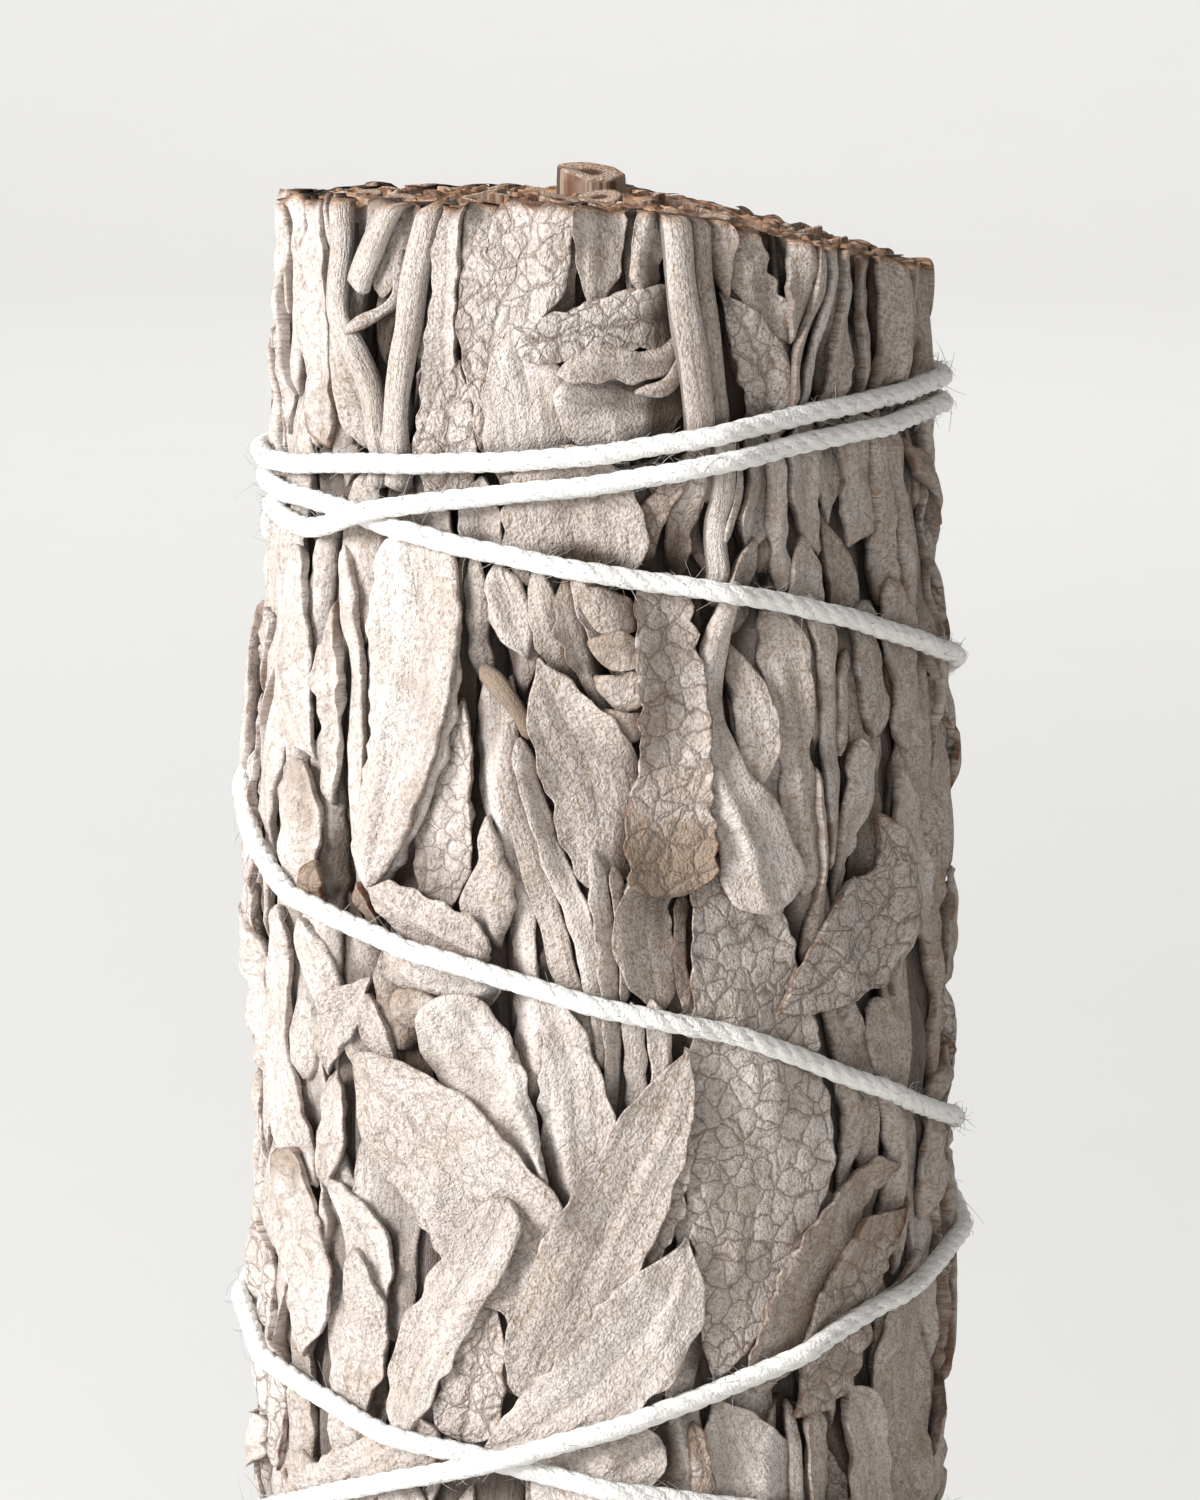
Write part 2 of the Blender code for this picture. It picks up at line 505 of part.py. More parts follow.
def back_pieces():
    """Leaves and stems for the sides, the back and the foot, spread by the golden ratio."""
    draw = random.Random(SEED)
    golden = (math.sqrt(5) - 1) / 2
    pieces = []
    for i in range(BACK_STEMS):
        angle = 84 + 192 * (i + 0.5) / BACK_STEMS + draw.uniform(-4, 4)
        top = cut_height(*place(angle, TOP_RADIUS, 0)[:2])
        length = draw.uniform(10, 18)
        lean = draw.uniform(-5, 5)
        kind = "stem" if i % 2 else "band"
        width = 1.5 if i % 2 else draw.uniform(2.0, 3.2)
        pieces.append((kind, [(angle, top - length, width), (angle + lean / 2, top - length / 2, width * 1.1),
                              (angle + lean, top, width)]))
    for i in range(BACK_LEAVES):
        angle = 82 + 198 * ((i * golden + 0.2) % 1)
        height = 12 + 74 * (i + 0.5) / BACK_LEAVES
        pieces.append(("leaf", lens(draw, angle, height)))
    for i in range(FOOT_LEAVES):
        angle = -70 + 150 * ((i * golden + 0.4) % 1)
        height = 9 + 19 * (i + 0.5) / FOOT_LEAVES
        pieces.append(("leaf", lens(draw, angle, height)))
    return pieces


def lens(draw, angle, height):
    """A leaf's outline: narrow root, widest a third of the way up, drawn to a point."""
    length = draw.uniform(17, 25)
    width = draw.uniform(5.6, 8.4)
    lean = draw.uniform(-22, 22)
    up = 1 if draw.random() < 0.7 else -1
    foot = min(max(height - up * length / 2, 1.0), HEIGHT - 6)
    tip = min(max(height + up * length / 2, 1.0), HEIGHT - 6)
    return [(angle + lean * (part - 0.5), foot + (tip - foot) * part, width * share)
            for part, share in ((0.0, 0.25), (0.3, 1.0), (0.62, 0.85), (1.0, 0.14))]


class Winding:
    """The string's route, laid over the leaves and over its own earlier turns."""

    SPACING = 1.0

    def __init__(self, surface):
        self.surface = surface
        unrolled = [(math.radians(angle) * BODY_RADIUS, height) for angle, height in STRING_ROUTE]
        track = smooth_track([(u, v, 0.0) for u, v in unrolled], self.SPACING)
        self.turn = track[:, 0] / BODY_RADIUS
        self.height = track[:, 1]
        self.radius = self.relax(self.support())
        for _ in range(3):
            self.radius = self.relax(np.maximum(self.support(), self.crossings()))

    def support(self):
        """The least radius of the string's middle that clears the leaves."""
        field = self.surface.everything()
        field = self.surface.widened(field)
        points = np.stack([np.sin(self.turn), -np.cos(self.turn), self.height], axis=1)
        column, row, _ = self.surface.cells(points)
        return field[column, row] + CLEARANCE + STRING_DIAMETER / 2

    def relax(self, least):
        """A taut string: straight where nothing holds it out."""
        radius = least.copy()
        shrink = 1 - np.diff(self.turn).mean() ** 2 / 2
        for _ in range(400):
            middle = (radius[:-2] + radius[2:]) / 2 * shrink
            radius[1:-1] = np.maximum(least[1:-1], middle)
        return radius

    def crossings(self):
        """Lifts each later turn over the earlier ones that it meets."""
        least = np.zeros(len(self.turn))
        reach = STRING_DIAMETER * 1.2
        flat = np.stack([(self.turn % (2 * math.pi)) * BODY_RADIUS, self.height], axis=1)
        for i in range(len(flat)):
            before = self.turn < self.turn[i] - 1.5
            gap = np.hypot(*(flat[before] - flat[i]).T)
            near = gap < reach
            if near.any():
                least[i] = (self.radius[before][near] + np.sqrt(reach ** 2 - gap[near] ** 2)).max()
        return least

    def coarse(self):
        """A point every few millimetres, each raised until the straight runs between them clear."""
        count = int(round(len(self.turn) * self.SPACING / STRING_STEP))
        at = np.linspace(0, len(self.turn) - 1, count)
        radius = np.interp(at, np.arange(len(self.turn)), self.radius)
        for _ in range(6):
            line = np.interp(np.arange(len(self.turn)), at, radius)
            sag = line * (1 - np.cos(STRING_STEP / BODY_RADIUS / 2)) * 1.1
            short = np.maximum(self.radius - line + sag, 0)
            for side in (np.floor, np.ceil):
                index = side(np.interp(np.arange(len(self.turn)), at, np.arange(count))).astype(int)
                rise = np.zeros(count)
                np.maximum.at(rise, index, short)
                radius = radius + rise / 2
        turn = np.interp(at, np.arange(len(self.turn)), self.turn)
        height = np.interp(at, np.arange(len(self.turn)), self.height)
        return np.stack([radius * np.sin(turn), -radius * np.cos(turn), height], axis=1)


def tube(name, points, collection):
    """A string as a round tube along its points, as a mesh with its caps joined."""
    curve = bpy.data.curves.new(name, "CURVE")
    curve.dimensions = "3D"
    curve.bevel_depth = STRING_DIAMETER / 2 * MM
    curve.bevel_resolution = 1
    curve.use_fill_caps = True
    spline = curve.splines.new("POLY")
    spline.points.add(len(points) - 1)
    for point, spot in zip(spline.points, points):
        point.co = (spot[0] * MM, spot[1] * MM, spot[2] * MM, 1.0)
    guide = new_object(name, curve, collection)
    graph = bpy.context.evaluated_depsgraph_get()
    mesh = bpy.data.meshes.new_from_object(guide.evaluated_get(graph))
    shape = bmesh.new()
    shape.from_mesh(mesh)
    bmesh.ops.remove_doubles(shape, verts=shape.verts, dist=1e-6)
    bmesh.ops.recalc_face_normals(shape, faces=shape.faces)
    shape.to_mesh(mesh)
    shape.free()
    bpy.data.objects.remove(guide)
    bpy.data.curves.remove(curve)
    return new_object(name, mesh, collection)


def clear_radius(surface, angle, height, spread):
    """The farthest that the bunch reaches within a distance of a spot."""
    offsets = np.linspace(-spread, spread, 15)
    spots = [place(angle + math.degrees(across / BODY_RADIUS), 1.0, height + up)
             for across in offsets for up in offsets]
    column, row, _ = surface.cells(np.array(spots))
    return surface.reach[column, row].max()


def string_pieces(surface, collection):
    """The winding, the knot at the back where it starts and ends, and the knot's two tails."""
    points = Winding(surface).coarse()
    middle = (points[0] + points[-1]) / 2
    height = middle[2]
    knot_radius = clear_radius(surface, 180, height, KNOT_RADII[0]) + CLEARANCE + KNOT_RADII[1]
    centre = np.array(place(180, knot_radius, height))
    points[0] = centre + (-KNOT_END, 0.0, 0.0)
    points[-1] = centre + (KNOT_END, 0.0, 0.0)
    knot = bmesh.new()
    bmesh.ops.create_icosphere(knot, subdivisions=2, radius=MM)
    for vert in knot.verts:
        vert.co = [vert.co[i] * KNOT_RADII[i] + centre[i] * MM for i in range(3)]
    mesh = bpy.data.meshes.new("knot")
    knot.to_mesh(mesh)
    knot.free()
    pieces = [tube("winding", points, collection), new_object("knot", mesh, collection)]
    for side in (-1, 1):
        tail = [centre + (side * 0.5, 0.0, -0.6)]
        for part in (0.35, 0.7, 1.0):
            angle = 180 - side * TAIL_SPREAD * part
            low = height - TAIL_LENGTH * part
            reach = clear_radius(surface, angle, low, STRING_DIAMETER) + CLEARANCE + STRING_DIAMETER / 2
            tail.append(np.array(place(angle, max(reach, knot_radius), low)))
        pieces.append(tube("tail", tail, collection))
    return pieces


def fuse(name, pieces, material, collection, parts):
    """Joins a node's pieces in one body, and drops any scrap that doesn't reach it."""
    body = pieces[0]
    repeats = bpy.data.collections.new("repeats")
    bpy.context.scene.collection.children.link(repeats)
    for piece in pieces[1:]:
        repeats.objects.link(piece)
    joint = body.modifiers.new("fuse", "BOOLEAN")
    joint.operation = "UNION"
    joint.operand_type = "COLLECTION"
    joint.collection = repeats
    joint.solver = "EXACT"
    bpy.context.view_layer.objects.active = body
    bpy.ops.object.modifier_apply(modifier=joint.name)
    for piece in pieces[1:]:
        bpy.data.objects.remove(piece)
    bpy.data.collections.remove(repeats)
    keep_body(body.data)
    body.name = name
    body.data.name = name
    body.data.materials.append(material)
    collection.objects.link(body)
    parts.objects.unlink(body)
    return body


def keep_body(mesh):
    """Deletes every loose scrap but the largest body."""
    shape = bmesh.new()
    shape.from_mesh(mesh)
    bmesh.ops.remove_doubles(shape, verts=shape.verts, dist=2e-6)
    bmesh.ops.triangulate(shape, faces=shape.faces)
    unseen = set(shape.verts)
    islands = []
    while unseen:
        front = [unseen.pop()]
        island = list(front)
        while front:
            vert = front.pop()
            for edge in vert.link_edges:
                other = edge.other_vert(vert)
                if other in unseen:
                    unseen.remove(other)
                    front.append(other)
                    island.append(other)
        islands.append(island)
    islands.sort(key=len)
    for island in islands[:-1]:
        bmesh.ops.delete(shape, geom=island, context="VERTS")
    shape.to_mesh(mesh)
    shape.free()


def finish(name, colour, roughness):
    """A plain material in one colour."""
    material = bpy.data.materials.new(name)
    material.use_nodes = True
    shader = material.node_tree.nodes["Principled BSDF"]
    shader.inputs["Base Color"].default_value = (*colour, 1.0)
    shader.inputs["Roughness"].default_value = roughness
    shader.inputs["Metallic"].default_value = 0.0
    return material


def triangles_of(item):
    """An object's triangles, in millimetres."""
    item.data.calc_loop_triangles()
    points = np.array([vert.co[:] for vert in item.data.vertices]) / MM
    return points[np.array([tri.vertices[:] for tri in item.data.loop_triangles])]


def main():
    for item in list(bpy.data.objects):
        bpy.data.objects.remove(item)
    bunch = bpy.data.collections.new("sage_bunch")
    parts = bpy.data.collections.new("loose_pieces")
    for collection in (bunch, parts):
        bpy.context.scene.collection.children.link(collection)
    sage = finish("dried_sage", (0.60, 0.56, 0.50), 0.9)
    cotton = finish("cotton_string", (0.88, 0.86, 0.82), 0.85)

    surface = Surface()
    pieces = []
    for index in range(OUTER_SPRIGS):
        core = outer_core(index, parts)
        surface.add(triangles_of(core), index, CORE_LATTICE)
        pieces.append([core])
    for kind, waypoints in back_pieces() + FRONT_PIECES:
        lay(surface, kind, waypoints, pieces, parts)

    for index in range(OUTER_SPRIGS):
        middle = index * 360 / OUTER_SPRIGS
        pieces[index].append(cut_stem(middle, OUTER_CUT_STEM, 0.0, parts))
        pieces[index].append(cut_leaf(middle, OUTER_CUT_LEAF, parts))
        fuse(f"sprig_{index + 1:02d}", pieces[index], sage, bunch, parts)
    centre = [centre_core(parts), cut_stem(0, CENTRE_CUT_STEM, 0.0, parts), cut_leaf(0, CENTRE_CUT_LEAF, parts)]
    fuse("inner_sprig_01", centre, sage, bunch, parts)
    for index in range(INNER_SPRIGS):
        middle = index * 360 / INNER_SPRIGS
        inner = [inner_core(index, parts), cut_leaf(middle, INNER_CUT_LEAF, parts)]
        if middle == 180:
            inner.append(cut_stem(middle, BACK_CUT_STEMS[0], BACK_STEM_RISE, parts))
            inner.append(cut_stem(middle, BACK_CUT_STEMS[1], 0.0, parts))
        else:
            inner += [cut_stem(middle, stem, 0.0, parts) for stem in INNER_CUT_STEMS]
        fuse(f"inner_sprig_{index + 2:02d}", inner, sage, bunch, parts)
    fuse("string", string_pieces(surface, parts), cotton, bunch, parts)
    bpy.data.collections.remove(parts)


main()
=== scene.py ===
"""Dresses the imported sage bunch: felted leaves, pressed stems, the sawn top and a cotton string.

Lengths are in millimetres until a mesh is made. Leaves are laid one over another on the unrolled
bunch: the way round is counted in millimetres at the body's radius from the front, which faces -Y,
and grows towards +X.
"""
import math
import random
from collections import namedtuple

import bpy
import numpy as np
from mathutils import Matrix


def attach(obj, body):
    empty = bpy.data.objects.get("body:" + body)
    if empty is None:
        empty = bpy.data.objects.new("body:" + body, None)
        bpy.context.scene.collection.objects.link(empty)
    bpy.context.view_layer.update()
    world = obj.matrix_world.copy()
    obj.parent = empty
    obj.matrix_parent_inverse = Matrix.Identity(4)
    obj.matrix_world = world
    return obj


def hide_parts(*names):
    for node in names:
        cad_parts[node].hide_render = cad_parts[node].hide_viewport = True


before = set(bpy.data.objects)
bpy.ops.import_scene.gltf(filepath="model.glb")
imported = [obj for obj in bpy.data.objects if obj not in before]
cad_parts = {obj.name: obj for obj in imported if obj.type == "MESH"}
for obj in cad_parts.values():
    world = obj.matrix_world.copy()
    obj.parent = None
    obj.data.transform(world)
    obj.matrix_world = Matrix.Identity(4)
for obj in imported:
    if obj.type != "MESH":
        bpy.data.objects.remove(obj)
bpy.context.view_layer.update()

bl_info = {
    "name": "Dried Sage Bunch",
    "version": (1, 0, 0),
    "blender": (4, 5, 0),
    "location": "View3D > Sidebar > Sage",
    "description": "Lays felted leaves and stems in a bunch, saws its top and winds it with string",
    "category": "Add Mesh",
}

MM = 0.001

# The bunch's form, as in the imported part
HEIGHT = 100.0
TOP_RADIUS = 17.5
BODY_RADIUS = 19.1
FOOT_RADIUS = 18.3
NECK = 8.0
SHOULDER = 24.0
FOOT_TAPER = 30.0
CORE_DEPTH = 3.1
TOP_RECESS = 1.2
CUT_SLOPE = 0.26
CUT_START = 3.0
CUT_ROUND = 3.0
CUT_BACK_SLOPE = 0.02
INNER_RADIUS = 8.5
CENTRE_RADIUS = 3.4
OUTER_SPRIGS = 12
INNER_SPRIGS = 4
GAP = 0.3
BACK_STEM_RISE = 1.1
TAIL_LENGTH = 7.0

# The unrolled grid on which the bunch's reach is kept while leaves are laid
COLUMNS = 480
CELL = 2 * math.pi * BODY_RADIUS / COLUMNS
LOWEST = -2.0
ROWS = 424

# How the laid bunch is pressed: its skin within the part's girth, the dent under the string, and
# how far a leaf stands out freely and at most beyond that
SURFACE_INSET = 0.8
PRESS_DEPTH = 0.35
FREE_RISE = 0.5
HELD_RISE = 0.6

# The bare core's stems, broad and fine: how many go round it, how far they stand out, and how deep
# the grooves between them lie
BROAD_STEMS = 26
FINE_STEMS = 61
BROAD_RIB = 0.7
FINE_RIB = 0.25
CORE_GROOVE = 0.5

# The steps of the layers' meshes, and what all laid leaves and stems have in common
UNDER_STEP = 0.85
BACK_STEP = 0.52
LARGE_STEP = 0.45
FRONT_STEP = 0.35
STIFF_HALF_WIDTH = 1.6
LEAST_WIDTH = 0.4
LEAST_HALF = 0.06
LEAF_GAP = 0.06
TOOTH_PITCH = 1.35
RAGGED_DEPTH = 0.20
RAGGED_LENGTH = 2.1
BROAD_CRUMPLE = 5.0
FINE_CRUMPLE = 1.8
CURL_HEIGHT = 1.6
MIDRIB_WIDTH = 0.35
TORN_REACH = 4.6
STEM_SIDES = 14
STEM_RIBS = 5
STEM_RIB_DEPTH = 0.05

# The ends of a leaf: the half width up to which one is drawn to a point, how much wider one is
# rounded only, and how far back each is shaped in half widths
POINTED_HALF = 0.9
POINTED_EASE = 0.5
ROUND_REACH = 0.7
POINT_REACH = 2.3

# Where pieces meet the saw and the foot
SAW_EASE = 0.5
SAW_RAGGEDNESS = 0.22
SAW_STAIN = 0.5
SAW_OVERRUN = 1.5
FOOT_EASE = 0.4
STAND_OFF = 0.02

# How the vein net and the browning vary between pieces, how much painted shade makes the right
# side browner and greyer, and how much painted light makes the left paler
NET_SPREAD = 0.08
BROWN_SPREAD = 0.05
RIGHT_PAINTED_SHADE_BROWN = 0.18
RIGHT_PAINTED_SHADE_TINT = 0.6
LEFT_PAINTED_LIGHT_TINT = 0.4

# How far the patterns of two neighbouring pieces, or of two strands, are apart
PIECE_SHIFT = 7.3
STRAND_SHIFT = 5.1

# The core's mesh, and what stands in the sawn top: leaf edges, as across and rise of their section,
# and stem ends, as size, rise and place between pith and bark
CORE_LEVELS = 130
CORE_ARC = 18
SEAM_DEPTH = 0.3
INNER_SIDES = 24
INNER_LEVELS = 30
STEM_END_SIDES = 20
RIBBON_REACH = 14.9
OUTER_RIBBONS = 26
OUTER_RIBBON_START = 9.0
OUTER_STEM_RADIUS = 12.2
OUTER_STEM_THICKNESS = 1.7
CENTRE_RIBBONS = 14
INNER_RIBBONS = 26
CENTRE_STEM_THICKNESS = 2.4
RIBBON_SECTION = [
    (-1, -3.0), (-1, -0.6), (-1, -0.1), (-0.5, 0.0), (0.5, 0.0), (1, -0.1), (1, -0.6), (1, -3.0),
]
STEM_END_PROFILE = [
    (1.0, -3.0, 1.0), (1.02, -0.6, 1.0), (1.0, -0.1, 0.95), (0.92, 0.0, 0.85), (0.7, -0.02, 0.7),
    (0.45, -0.04, 0.5), (0.3, -0.1, 0.3), (0.2, -0.16, 0.15), (0.08, -0.18, 0.05),
]

# The stem ends of an inner sprig: angle from its middle, radius, thickness and rise over the cut
BACK_STEM_ENDS = [(4, 6.4, 3.4, BACK_STEM_RISE), (-28, 5.8, 1.5, 0.0)]
INNER_STEM_ENDS = [(-18, 6.4, 2.2, 0.0), (24, 5.6, 1.5, 0.0)]

# The string: how its plies lie, how deep it sinks between leaves, its fibres, knot and tails
STRING_STEP = 0.42
STRING_SINK = 0.72
TURNS_APART = 1.5
CROSSING_ROUNDS = 4
TAUT_ROUNDS = 600
PLIES = 3
PLY_PITCH = 3.4
PLY_SIDES = 8
PLY_OFFSET = 0.21
PLY_SIZE = 0.79
FIBRE_RADIUS = 0.018
FIBRE_POINTS = 4
FIBRE_SIDES = 3
TAIL_FIBRES = 26
KNOT_RISE = 0.5
KNOT_WIDTH = 0.52
KNOT_HEIGHT = 0.42
KNOT_DEPTH = 0.45
KNOT_POINTS = 64
KNOT_SIDES = 10
KNOT_STRAND = 0.85
KNOT_NUMBER = 4
TAIL_POINTS = 26

# The stage, in metres but for the film's width: the floor and the cove behind it, and the lights
HALF_FLOOR = 2.0
FLOOR_FRONT = -1.2
COVE_START = 1.35
COVE_RADIUS = 0.6
WALL_TOP = 2.2
BUNCH_MIDDLE = (0.0, 0.0, 0.06)
KEY_PLACE = (-0.64, -0.40, 0.36)
KEY_SIZE = 0.32
FILL_PLACE = (0.10, -0.80, 0.30)
FILL_SIZE = 0.6
BACKDROP_LIGHT_PLACE = (0.0, 0.60, 1.40)
BACKDROP_LIGHT_AIM = (0.0, 1.51, 0.99)
BACKDROP_LIGHT_SIZE = 1.2
ROOM_COLOUR = (1.0, 0.985, 0.965, 1.0)
FILM_WIDTH = 36.0

# The golden ratio's part after the point, which spreads pieces evenly
GOLDEN = (math.sqrt(5) - 1) / 2
DEGREES_PER_RADIAN = 57.3

# How a kind of leaf is made: thickness, the margin's radius and turn in degrees, bulge across the
# middle, rise of one margin over the other, long folds and their height, crumpling, height of the
# teeth along the margin, upward curl of the margin, groove over the midrib, vein net, midrib and
# side veins, browning, and how much browner its first end is
Kind = namedtuple("Kind", "thick edge turn bulge tilt folds fold_height crumple teeth curl groove"
                  " net rib brown torn")
KINDS = {
    "leaf": Kind(0.24, 0.12, 90, 0.05, 0.22, 1, 0.16, 0.12, 0.00, 0.20, 0.10, 0.24, 0.30, 0.05, 0.10),
    "soft": Kind(0.36, 0.26, 125, 0.08, 0.20, 2, 0.28, 0.14, 0.00, 0.00, 0.00, 0.16, 0.00, 0.05, 0.00),
    "net": Kind(0.24, 0.12, 90, 0.04, 0.15, 0, 0.12, 0.08, 0.05, 0.20, 0.16, 0.95, 0.70, 0.08, 0.12),
    "scallop": Kind(0.24, 0.12, 90, 0.03, 0.15, 0, 0.10, 0.08, 0.18, 0.26, 0.10, 1.00, 0.20, 0.13, 0.20),
    "fold": Kind(0.26, 0.15, 110, 0.06, 0.45, 1, 0.24, 0.12, 0.00, 0.00, 0.00, 0.12, 0.00, 0.08, 0.10),
    "crumple": Kind(0.22, 0.11, 90, 0.05, 0.35, 2, 0.36, 0.30, 0.08, 0.28, 0.00, 0.30, 0.00, 0.12, 0.30),
    "crinkle": Kind(0.24, 0.12, 90, 0.06, 0.20, 4, 0.36, 0.34, 0.04, 0.10, 0.00, 0.40, 0.00, 0.05, 0.00),
    "dusky": Kind(0.24, 0.12, 90, 0.05, 0.20, 1, 0.14, 0.10, 0.10, 0.10, 0.08, 0.85, 0.40, 0.34, 0.10),
    "worn": Kind(0.22, 0.11, 90, 0.03, 0.10, 0, 0.10, 0.12, 0.26, 0.16, 0.00, 0.60, 0.00, 0.26, 0.05),
    "brown": Kind(0.28, 0.14, 90, 0.04, 0.15, 0, 0.10, 0.20, 0.22, 0.20, 0.00, 1.00, 0.00, 0.33, 0.80),
}
STEM_KINDS = {"stem": 0.05, "roll": 0.20, "twig": 0.75}

# The leaves and stems that show at the front, from the inside out:
# kind, then angle in degrees, height and width along the piece, from its root to its tip
TOP_PIECES = [
    ("fold", [(-61, 87.0, 1.9), (-65, 92.0, 1.8), (-67, 96.6, 1.8), (-71, 100.0, 1.6)]),
    ("crumple", [(-55, 87.2, 1.8), (-58, 90.6, 2.4), (-60, 94.7, 2.3), (-60, 99.7, 1.6)]),
    ("fold", [(-47, 87.2, 1.4), (-50, 90.8, 1.5), (-53, 94.8, 1.2)]),
    ("stem", [(-42, 85.4, 1.3), (-46, 91.4, 1.4), (-52, 95.8, 1.4), (-54, 100.5, 1.4)]),
    ("leaf", [(-42, 95.0, 1.6), (-41, 97.5, 3.2), (-40, 100.2, 3.7)]),
    ("roll", [(-46, 95.3, 1.4), (-42, 97.5, 1.4), (-39, 99.2, 1.3)]),
    ("fold", [(-47, 93.2, 0.7), (-45, 93.8, 0.6), (-39, 95.0, 0.5), (-37, 97.5, 0.4)]),
    ("fold", [(-40, 86.0, 1.3), (-38, 90.0, 1.6), (-40, 93.4, 0.8)]),
    ("fold", [(-21, 87.0, 0.8), (-23, 91.2, 1.8), (-25, 95.2, 1.9), (-23, 99.8, 2.7)]),
    ("stem", [(-37, 85.3, 1.4), (-36, 91.6, 1.5), (-34, 96.1, 1.7), (-31, 100.4, 1.7)]),
    ("leaf", [(-31, 86.0, 1.4), (-29, 92.0, 1.9), (-27, 98.0, 1.5), (-26, 100.2, 1.5)]),
    ("net", [(-28, 84.6, 2.7), (-27, 88.2, 3.3), (-26, 90.2, 2.0), (-25, 92.1, 0.4)]),
    ("net", [(-21, 87.3, 0.6), (-20, 90.5, 1.8), (-19, 93.8, 4.0), (-14, 97.1, 5.9), (-11, 99.9, 4.5)]),
    ("leaf", [(-1, 94.3, 1.1), (0, 97.3, 2.7), (0, 99.8, 3.2)]),
    ("crumple", [(10, 94.5, 0.5), (8, 96.7, 1.9), (9, 98.9, 1.9)]),
    ("fold", [(24, 86.0, 0.6), (23, 89.3, 0.7), (21, 93.7, 0.7), (19, 99.2, 0.7)]),
    ("leaf", [(36, 92.8, 0.4), (33, 93.6, 1.4), (28, 96.1, 2.5), (25, 98.8, 1.9)]),
    ("net", [(31, 86.7, 1.2), (31, 88.7, 2.6), (31, 90.6, 3.2), (27, 93.2, 2.3), (22, 95.5, 0.5)]),
    ("crumple", [(23, 95.2, 0.5), (22, 97.1, 1.2), (21, 99.4, 1.8)]),
    ("fold", [(35, 92.8, 1.1), (36, 94.1, 1.8), (37, 97.9, 1.6)]),
    ("fold", [(35, 89.4, 0.6), (37, 92.6, 1.0), (40, 95.0, 1.1), (41, 97.9, 1.1)]),
    ("fold", [(38, 88.5, 0.7), (42, 94.0, 0.7), (45, 97.6, 0.7)]),
    ("leaf", [(44, 88.4, 1.8), (48, 93.4, 1.8), (50, 97.4, 1.9)]),
    ("fold", [(54, 88.0, 1.4), (55, 93.0, 1.5), (57, 97.4, 1.3)]),
    ("leaf", [(59, 88.8, 2.1), (62, 93.1, 2.3), (62, 97.0, 2.1)]),
    ("fold", [(71, 88.5, 1.0), (75, 92.8, 1.1), (73, 96.6, 1.3)]),
    ("leaf", [(-13, 84.6, 3.0), (-12, 88.9, 5.5), (-13, 91.3, 4.6), (-15, 93.7, 1.3)]),
    ("leaf", [(16, 90.2, 1.6), (10, 89.9, 4.1), (2, 89.9, 4.6), (-5, 90.2, 3.4), (-8, 90.4, 1.2)]),
    ("net", [(15, 94.2, 3.4), (9, 94.3, 3.4), (2, 94.0, 3.0), (-6, 93.4, 2.6), (-14, 92.8, 2.0)]),
    ("fold", [(14, 93.6, 0.9), (12, 92.3, 1.4), (6, 91.9, 1.7), (0, 92.0, 1.9), (-7, 91.6, 2.0)]),
    ("fold", [(16, 95.6, 0.6), (15, 92.6, 0.8), (12, 91.0, 0.9), (6, 90.6, 0.7)]),
    ("stem", [(23, 85.0, 1.4), (21.5, 89.1, 1.4), (19, 93.8, 1.4), (17.5, 99.8, 1.4)]),
    ("stem", [(20, 85.0, 1.7), (17.5, 89.1, 1.8), (14.5, 94.3, 1.8), (13, 99.6, 1.8)]),
]
STRING_BAND_PIECES = [
    ("fold", [(14, 87.3, 0.6), (3, 86.2, 1.2), (-6, 86.2, 1.2), (-17, 86.3, 0.5)]),
    ("leaf", [(-21, 86.3, 1.4), (-21, 83.8, 2.7), (-19, 81.9, 1.6)]),
    ("leaf", [(-30, 85.4, 2.6), (-31, 83.4, 3.2), (-32, 81.6, 2.1)]),
    ("crumple", [(8, 86.4, 0.7), (11, 85.9, 1.4), (14, 86.5, 1.0)]),
    ("fold", [(21, 81.1, 0.8), (17, 83.1, 0.9), (16, 85.4, 1.1), (17, 87.6, 0.8)]),
    ("dusky", [(14, 80.9, 1.2), (14, 83.9, 1.6), (17, 87.2, 0.7)]),
    ("dusky", [(8, 79.5, 1.6), (7, 82.9, 1.9), (10, 85.0, 1.5), (16, 87.8, 0.5)]),
    ("stem", [(20, 79.8, 1.2), (20, 84.3, 1.3), (21, 88.4, 1.3)]),
    ("fold", [(21, 83.1, 0.6), (23, 85.3, 0.7), (24, 88.0, 0.6)]),
    ("leaf", [(27, 89.0, 1.5), (29, 85.7, 2.3), (27, 83.7, 2.3), (26, 82.0, 0.8)]),
    ("leaf", [(27, 83.2, 1.2), (24, 80.8, 1.8), (22, 78.3, 1.6)]),
    ("fold", [(33, 80.1, 1.2), (31, 85.2, 1.3), (32, 88.5, 1.1)]),
    ("leaf", [(39, 89.2, 2.0), (38, 85.5, 2.9), (39, 83.5, 1.9), (41, 82.0, 0.5)]),
    ("leaf", [(36, 83.2, 1.6), (37, 80.0, 2.4), (38, 75.9, 1.6), (39, 72.4, 0.6)]),
    ("leaf", [(50, 89.0, 2.6), (51, 84.2, 3.2), (48, 82.3, 1.1)]),
    ("fold", [(64, 76.8, 1.6), (64, 83.3, 1.6), (63, 89.0, 1.6)]),
    ("fold", [(57, 79.0, 1.5), (57, 84.0, 1.7), (56, 89.4, 1.4)]),
    ("leaf", [(-6, 88.0, 4.0), (-5, 84.4, 8.0), (-4, 81.7, 7.4), (-4, 79.9, 4.4)]),
]
